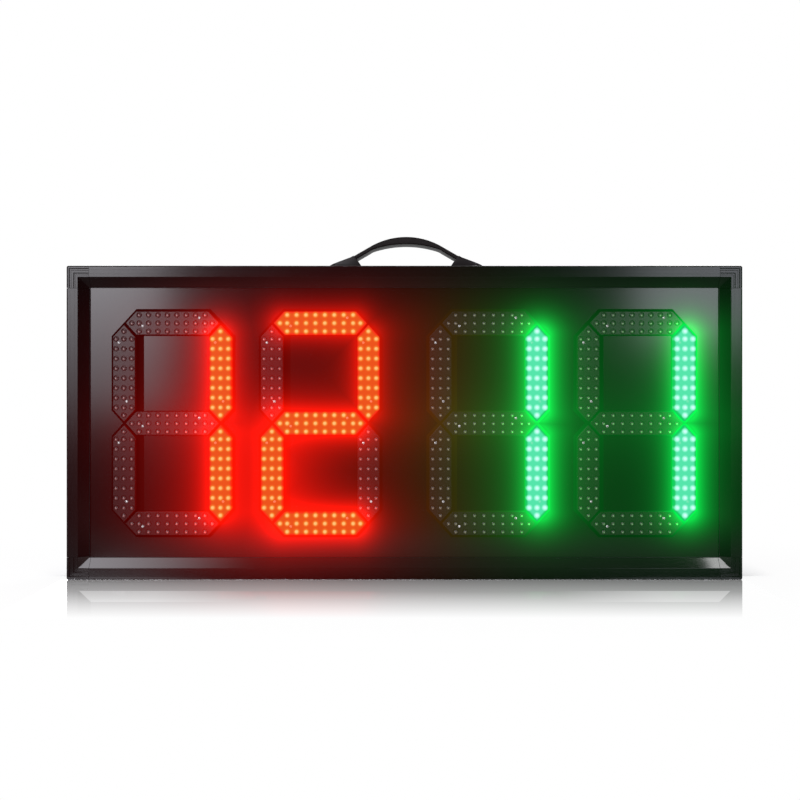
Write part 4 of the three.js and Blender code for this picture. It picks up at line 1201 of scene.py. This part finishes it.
# Strap caps. Hollow wedge mouldings of black plastic over the ends of the strap. Each is held down on
# the top rail by one black screw through its slope.
cap_screw_radius = 0.0026
cap_screw_rise = 0.0009
cap_end_height = 0.0012
shoulder_length = 0.0025
shoulder_drop = 0.0012
screw_reach = 0.0610
cap_finish = finish(
    "cap_moulding", (0.007, 0.0045, 0.0042), 0.42, grain=1300.0, bump=0.00003, specular=0.16,
)
for side in ("left", "right"):
    dressed_copy(
        f"strap_cap_{side}", f"handle_cap_{side}", cap_finish, "case", width=0.0005,
    )
shoulder = cap_mouth + shoulder_length
shoulder_height = cap_mouth_height - shoulder_drop
cap_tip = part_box("handle_cap_right")[1].x - strap_middle
cap_slope = math.atan2(shoulder_height - cap_end_height, cap_tip - shoulder)
screw_level = shoulder_height - (screw_reach - shoulder) * math.tan(cap_slope)
points, faces = screw_heads([(0, 0)], cap_screw_radius, cap_screw_rise)
across, depth, rise = points.T
x = screw_reach + across * math.cos(cap_slope) + rise * math.sin(cap_slope)
z = rail_top + screw_level + rise * math.cos(cap_slope) - across * math.sin(cap_slope)
for name, turn in (("right", 1), ("left", -1)):
    placed = np.stack([strap_middle + turn * x, depth, z], axis=-1)
    new_piece(f"cap_screw_{name}", placed, faces, [black_screw], "case")

# Floor. A white studio table: nearly shadowless white, with a polished strip in front of the board that
# mirrors it and fades out towards the camera, and a painted reflection of the bright bottom lip: a lighter
# band where the polish gives way to white. What is glossy mirrors only the near part of the table, and that
# at half strength.
floor_reach = 2.5
contact = 0.0001
mirrored_near, mirrored_far = 0.38, 0.46
foot_shade = 0.06
white_from = 0.3
rear_shade, rear_shade_side = 0.14, 0.04
near_polish, far_polish = 0.075, 0.21
polish_side = 0.005
# Painted reflection of the bottom lip: its near and far distance, where it starts and is full towards the
# ends, and its slanted end.
painted_lip_band_near, painted_lip_band_far = 0.0703, 0.1318
painted_lip_band_start, painted_lip_band_full = 0.13, 0.214
painted_lip_band_end, painted_lip_band_lean = 0.309, 0.4
floor_mesh = bpy.data.meshes.new("floor")
corner_signs = ((-1, -1), (1, -1), (1, 1), (-1, 1))
floor_corners = [(side * floor_reach, end * floor_reach, 0) for side, end in corner_signs]
floor_mesh.from_pydata(floor_corners, [], [(0, 1, 2, 3)])
floor = bpy.data.objects.new("floor", floor_mesh)
bpy.context.scene.collection.objects.link(floor)
floor_finish = bpy.data.materials.new("floor_white")
floor_finish.use_nodes = True
tree = floor_finish.node_tree
tree.nodes.remove(tree.nodes["Principled BSDF"])
rays = signals(add_node(tree, "ShaderNodeLightPath"))
place = place_in(tree)
y = place.part("Y")
sideways = abs(place.part("X"))
ahead = y < front_face
beyond = abs(place) - (board_width / 2, board_depth / 2, 1)
distance = beyond.maths("MAXIMUM", (0, 0, 0)).maths("LENGTH")

# Camera and mirrors see it white, dimmed in mirrors, at the foot of the board and behind it.
dimming = distance.ramp(mirrored_near, mirrored_far, 0.5, 0.94) + distance.ramp(0.0, foot_shade, 0.45, 0.0)
brightness = 1.0 - rays["Is Glossy Ray"] * dimming * ahead
shade = y.ramp(board_depth / 2, board_depth / 2 + rear_shade, 0.6, 0.0) * (y > 0.0)
shade = shade * sideways.ramp(board_width / 2, board_width / 2 + rear_shade_side, 1.0, 0.0)
whiteness = (distance.ramp(0.0, white_from, 0.9, 1.0) - shade) * (distance > contact)
mirrored = rays["Is Glossy Ray"].maths("MAXIMUM", rays["Is Transmission Ray"])
seen = rays["Is Camera Ray"].maths("MAXIMUM", mirrored)
plain = signal(tree, "ShaderNodeMixShader", 0, {
    0: seen * whiteness,
    1: signal(tree, "ShaderNodeBsdfDiffuse", 0, {"Color": (0.95, 0.95, 0.95, 1)}),
    2: signal(tree, "ShaderNodeEmission", 0, {"Color": (1, 1, 1, 1), "Strength": brightness}),
})

# The polish is strongest at the board and ends just beside it. The painted reflection of the bottom lip is a
# band across it, which grows towards both ends of the board, where the polish gives way to white.
polish = distance.ramp(0.0, near_polish, 0.2, 0.0) + distance.ramp(near_polish, far_polish, 0.75, 0.0)
near_board = ahead * sideways.ramp(board_width / 2, board_width / 2 + polish_side, 1.0, 0.0)
painted_lip_band = sideways.ramp(painted_lip_band_start, painted_lip_band_full, 0.0, 0.31)
painted_lip_band = painted_lip_band * (sideways < painted_lip_band_end - distance * painted_lip_band_lean)
painted_lip_band = painted_lip_band * (distance > painted_lip_band_near) * (distance < painted_lip_band_far)
facing = signal(tree, "ShaderNodeLayerWeight", "Facing", {"Blend": 0.5})
signal(tree, "ShaderNodeMixShader", 0, {
    0: polish * (1.0 - painted_lip_band) * near_board * facing,
    1: plain,
    2: signal(tree, "ShaderNodeBsdfGlossy", 0, {"Color": (1, 1, 1, 1), "Roughness": 0.04}),
}).into(tree.nodes["Material Output"].inputs["Surface"])
floor_mesh.materials.append(floor_finish)

# Studio. White behind the board and to the camera, and a dim room on the side of the camera, which
# is what the black front mirrors.
world = bpy.data.worlds.new("studio")
bpy.context.scene.world = world
world.use_nodes = True
tree = world.node_tree
background = tree.nodes["Background"].inputs
background["Color"].default_value = (1, 1, 1, 1)
rays = signals(add_node(tree, "ShaderNodeLightPath"))
mirrored = rays["Is Glossy Ray"].maths("MAXIMUM", rays["Is Transmission Ray"])
room = signal(tree, "ShaderNodeTexCoord", "Generated").part("Y").ramp(-0.05, 0.25, 0.06, 1.0)
seen = rays["Is Camera Ray"].maths("MAXIMUM", mirrored * room)
seen.maths("MAXIMUM", (1.0 - mirrored) * 0.3).into(background["Strength"])


def softbox(name, place, target, size, strength, colour=(1, 1, 1), fade=None):
    """A rectangular softbox that faces a target. Its strength is what its face sends out. A fade
    (axis, start, end, share) dims the face along one of its sides from the share to full."""
    light = bpy.data.lights.new(name, "AREA")
    light.shape = "RECTANGLE"
    light.color = colour
    light.size, light.size_y = size
    light.energy = strength * size[0] * size[1] * math.pi
    light.use_nodes = True
    if fade:
        axis, start, end, share = fade
        face = signal(light.node_tree, "ShaderNodeNewGeometry", "Parametric")
        level = face.part(axis).ramp(start, end, share, 1.0, "SMOOTHSTEP")
        level.into(light.node_tree.nodes["Emission"].inputs["Strength"])
    lamp = bpy.data.objects.new(name, light)
    lamp.location = place
    lamp.rotation_euler = Vector(np.subtract(target, place)).to_track_quat("-Z", "Y").to_euler()
    bpy.context.scene.collection.objects.link(lamp)


cool = (1.0, 0.985, 1.05)
low_fade = ("Y", 0.0, 0.5, 0.3)
side_fade = ("X", 1.0, 0.55, 0.0)
softbox("softbox_left", (-0.72, -1.225, 0.5), (-0.72, 0, 0.5), (0.56, 0.7), 16.0, cool, low_fade)
softbox("softbox_right", (0.668, -1.225, 0.54), (0.668, 0, 0.54), (0.464, 0.52), 9.0, (1.0, 1.0, 1.12))
softbox("softbox_over_left", (-0.6, -0.15, 1.0), (-0.6, -0.149, 0), (0.72, 0.5), 2.8, cool, side_fade)
softbox("softbox_over_right", (0.535, -0.18, 1.0), (0.535, -0.179, 0), (0.04, 0.4), 4.6)
softbox("softbox_back", (0.6, 1.5, 0.95), (0, 0, 0.15), (0.9, 0.9), 7.0)
softbox("softbox_back_low", (-0.8, 1.5, 0.4), (0, 0, 0.15), (0.5, 0.7), 6.0)
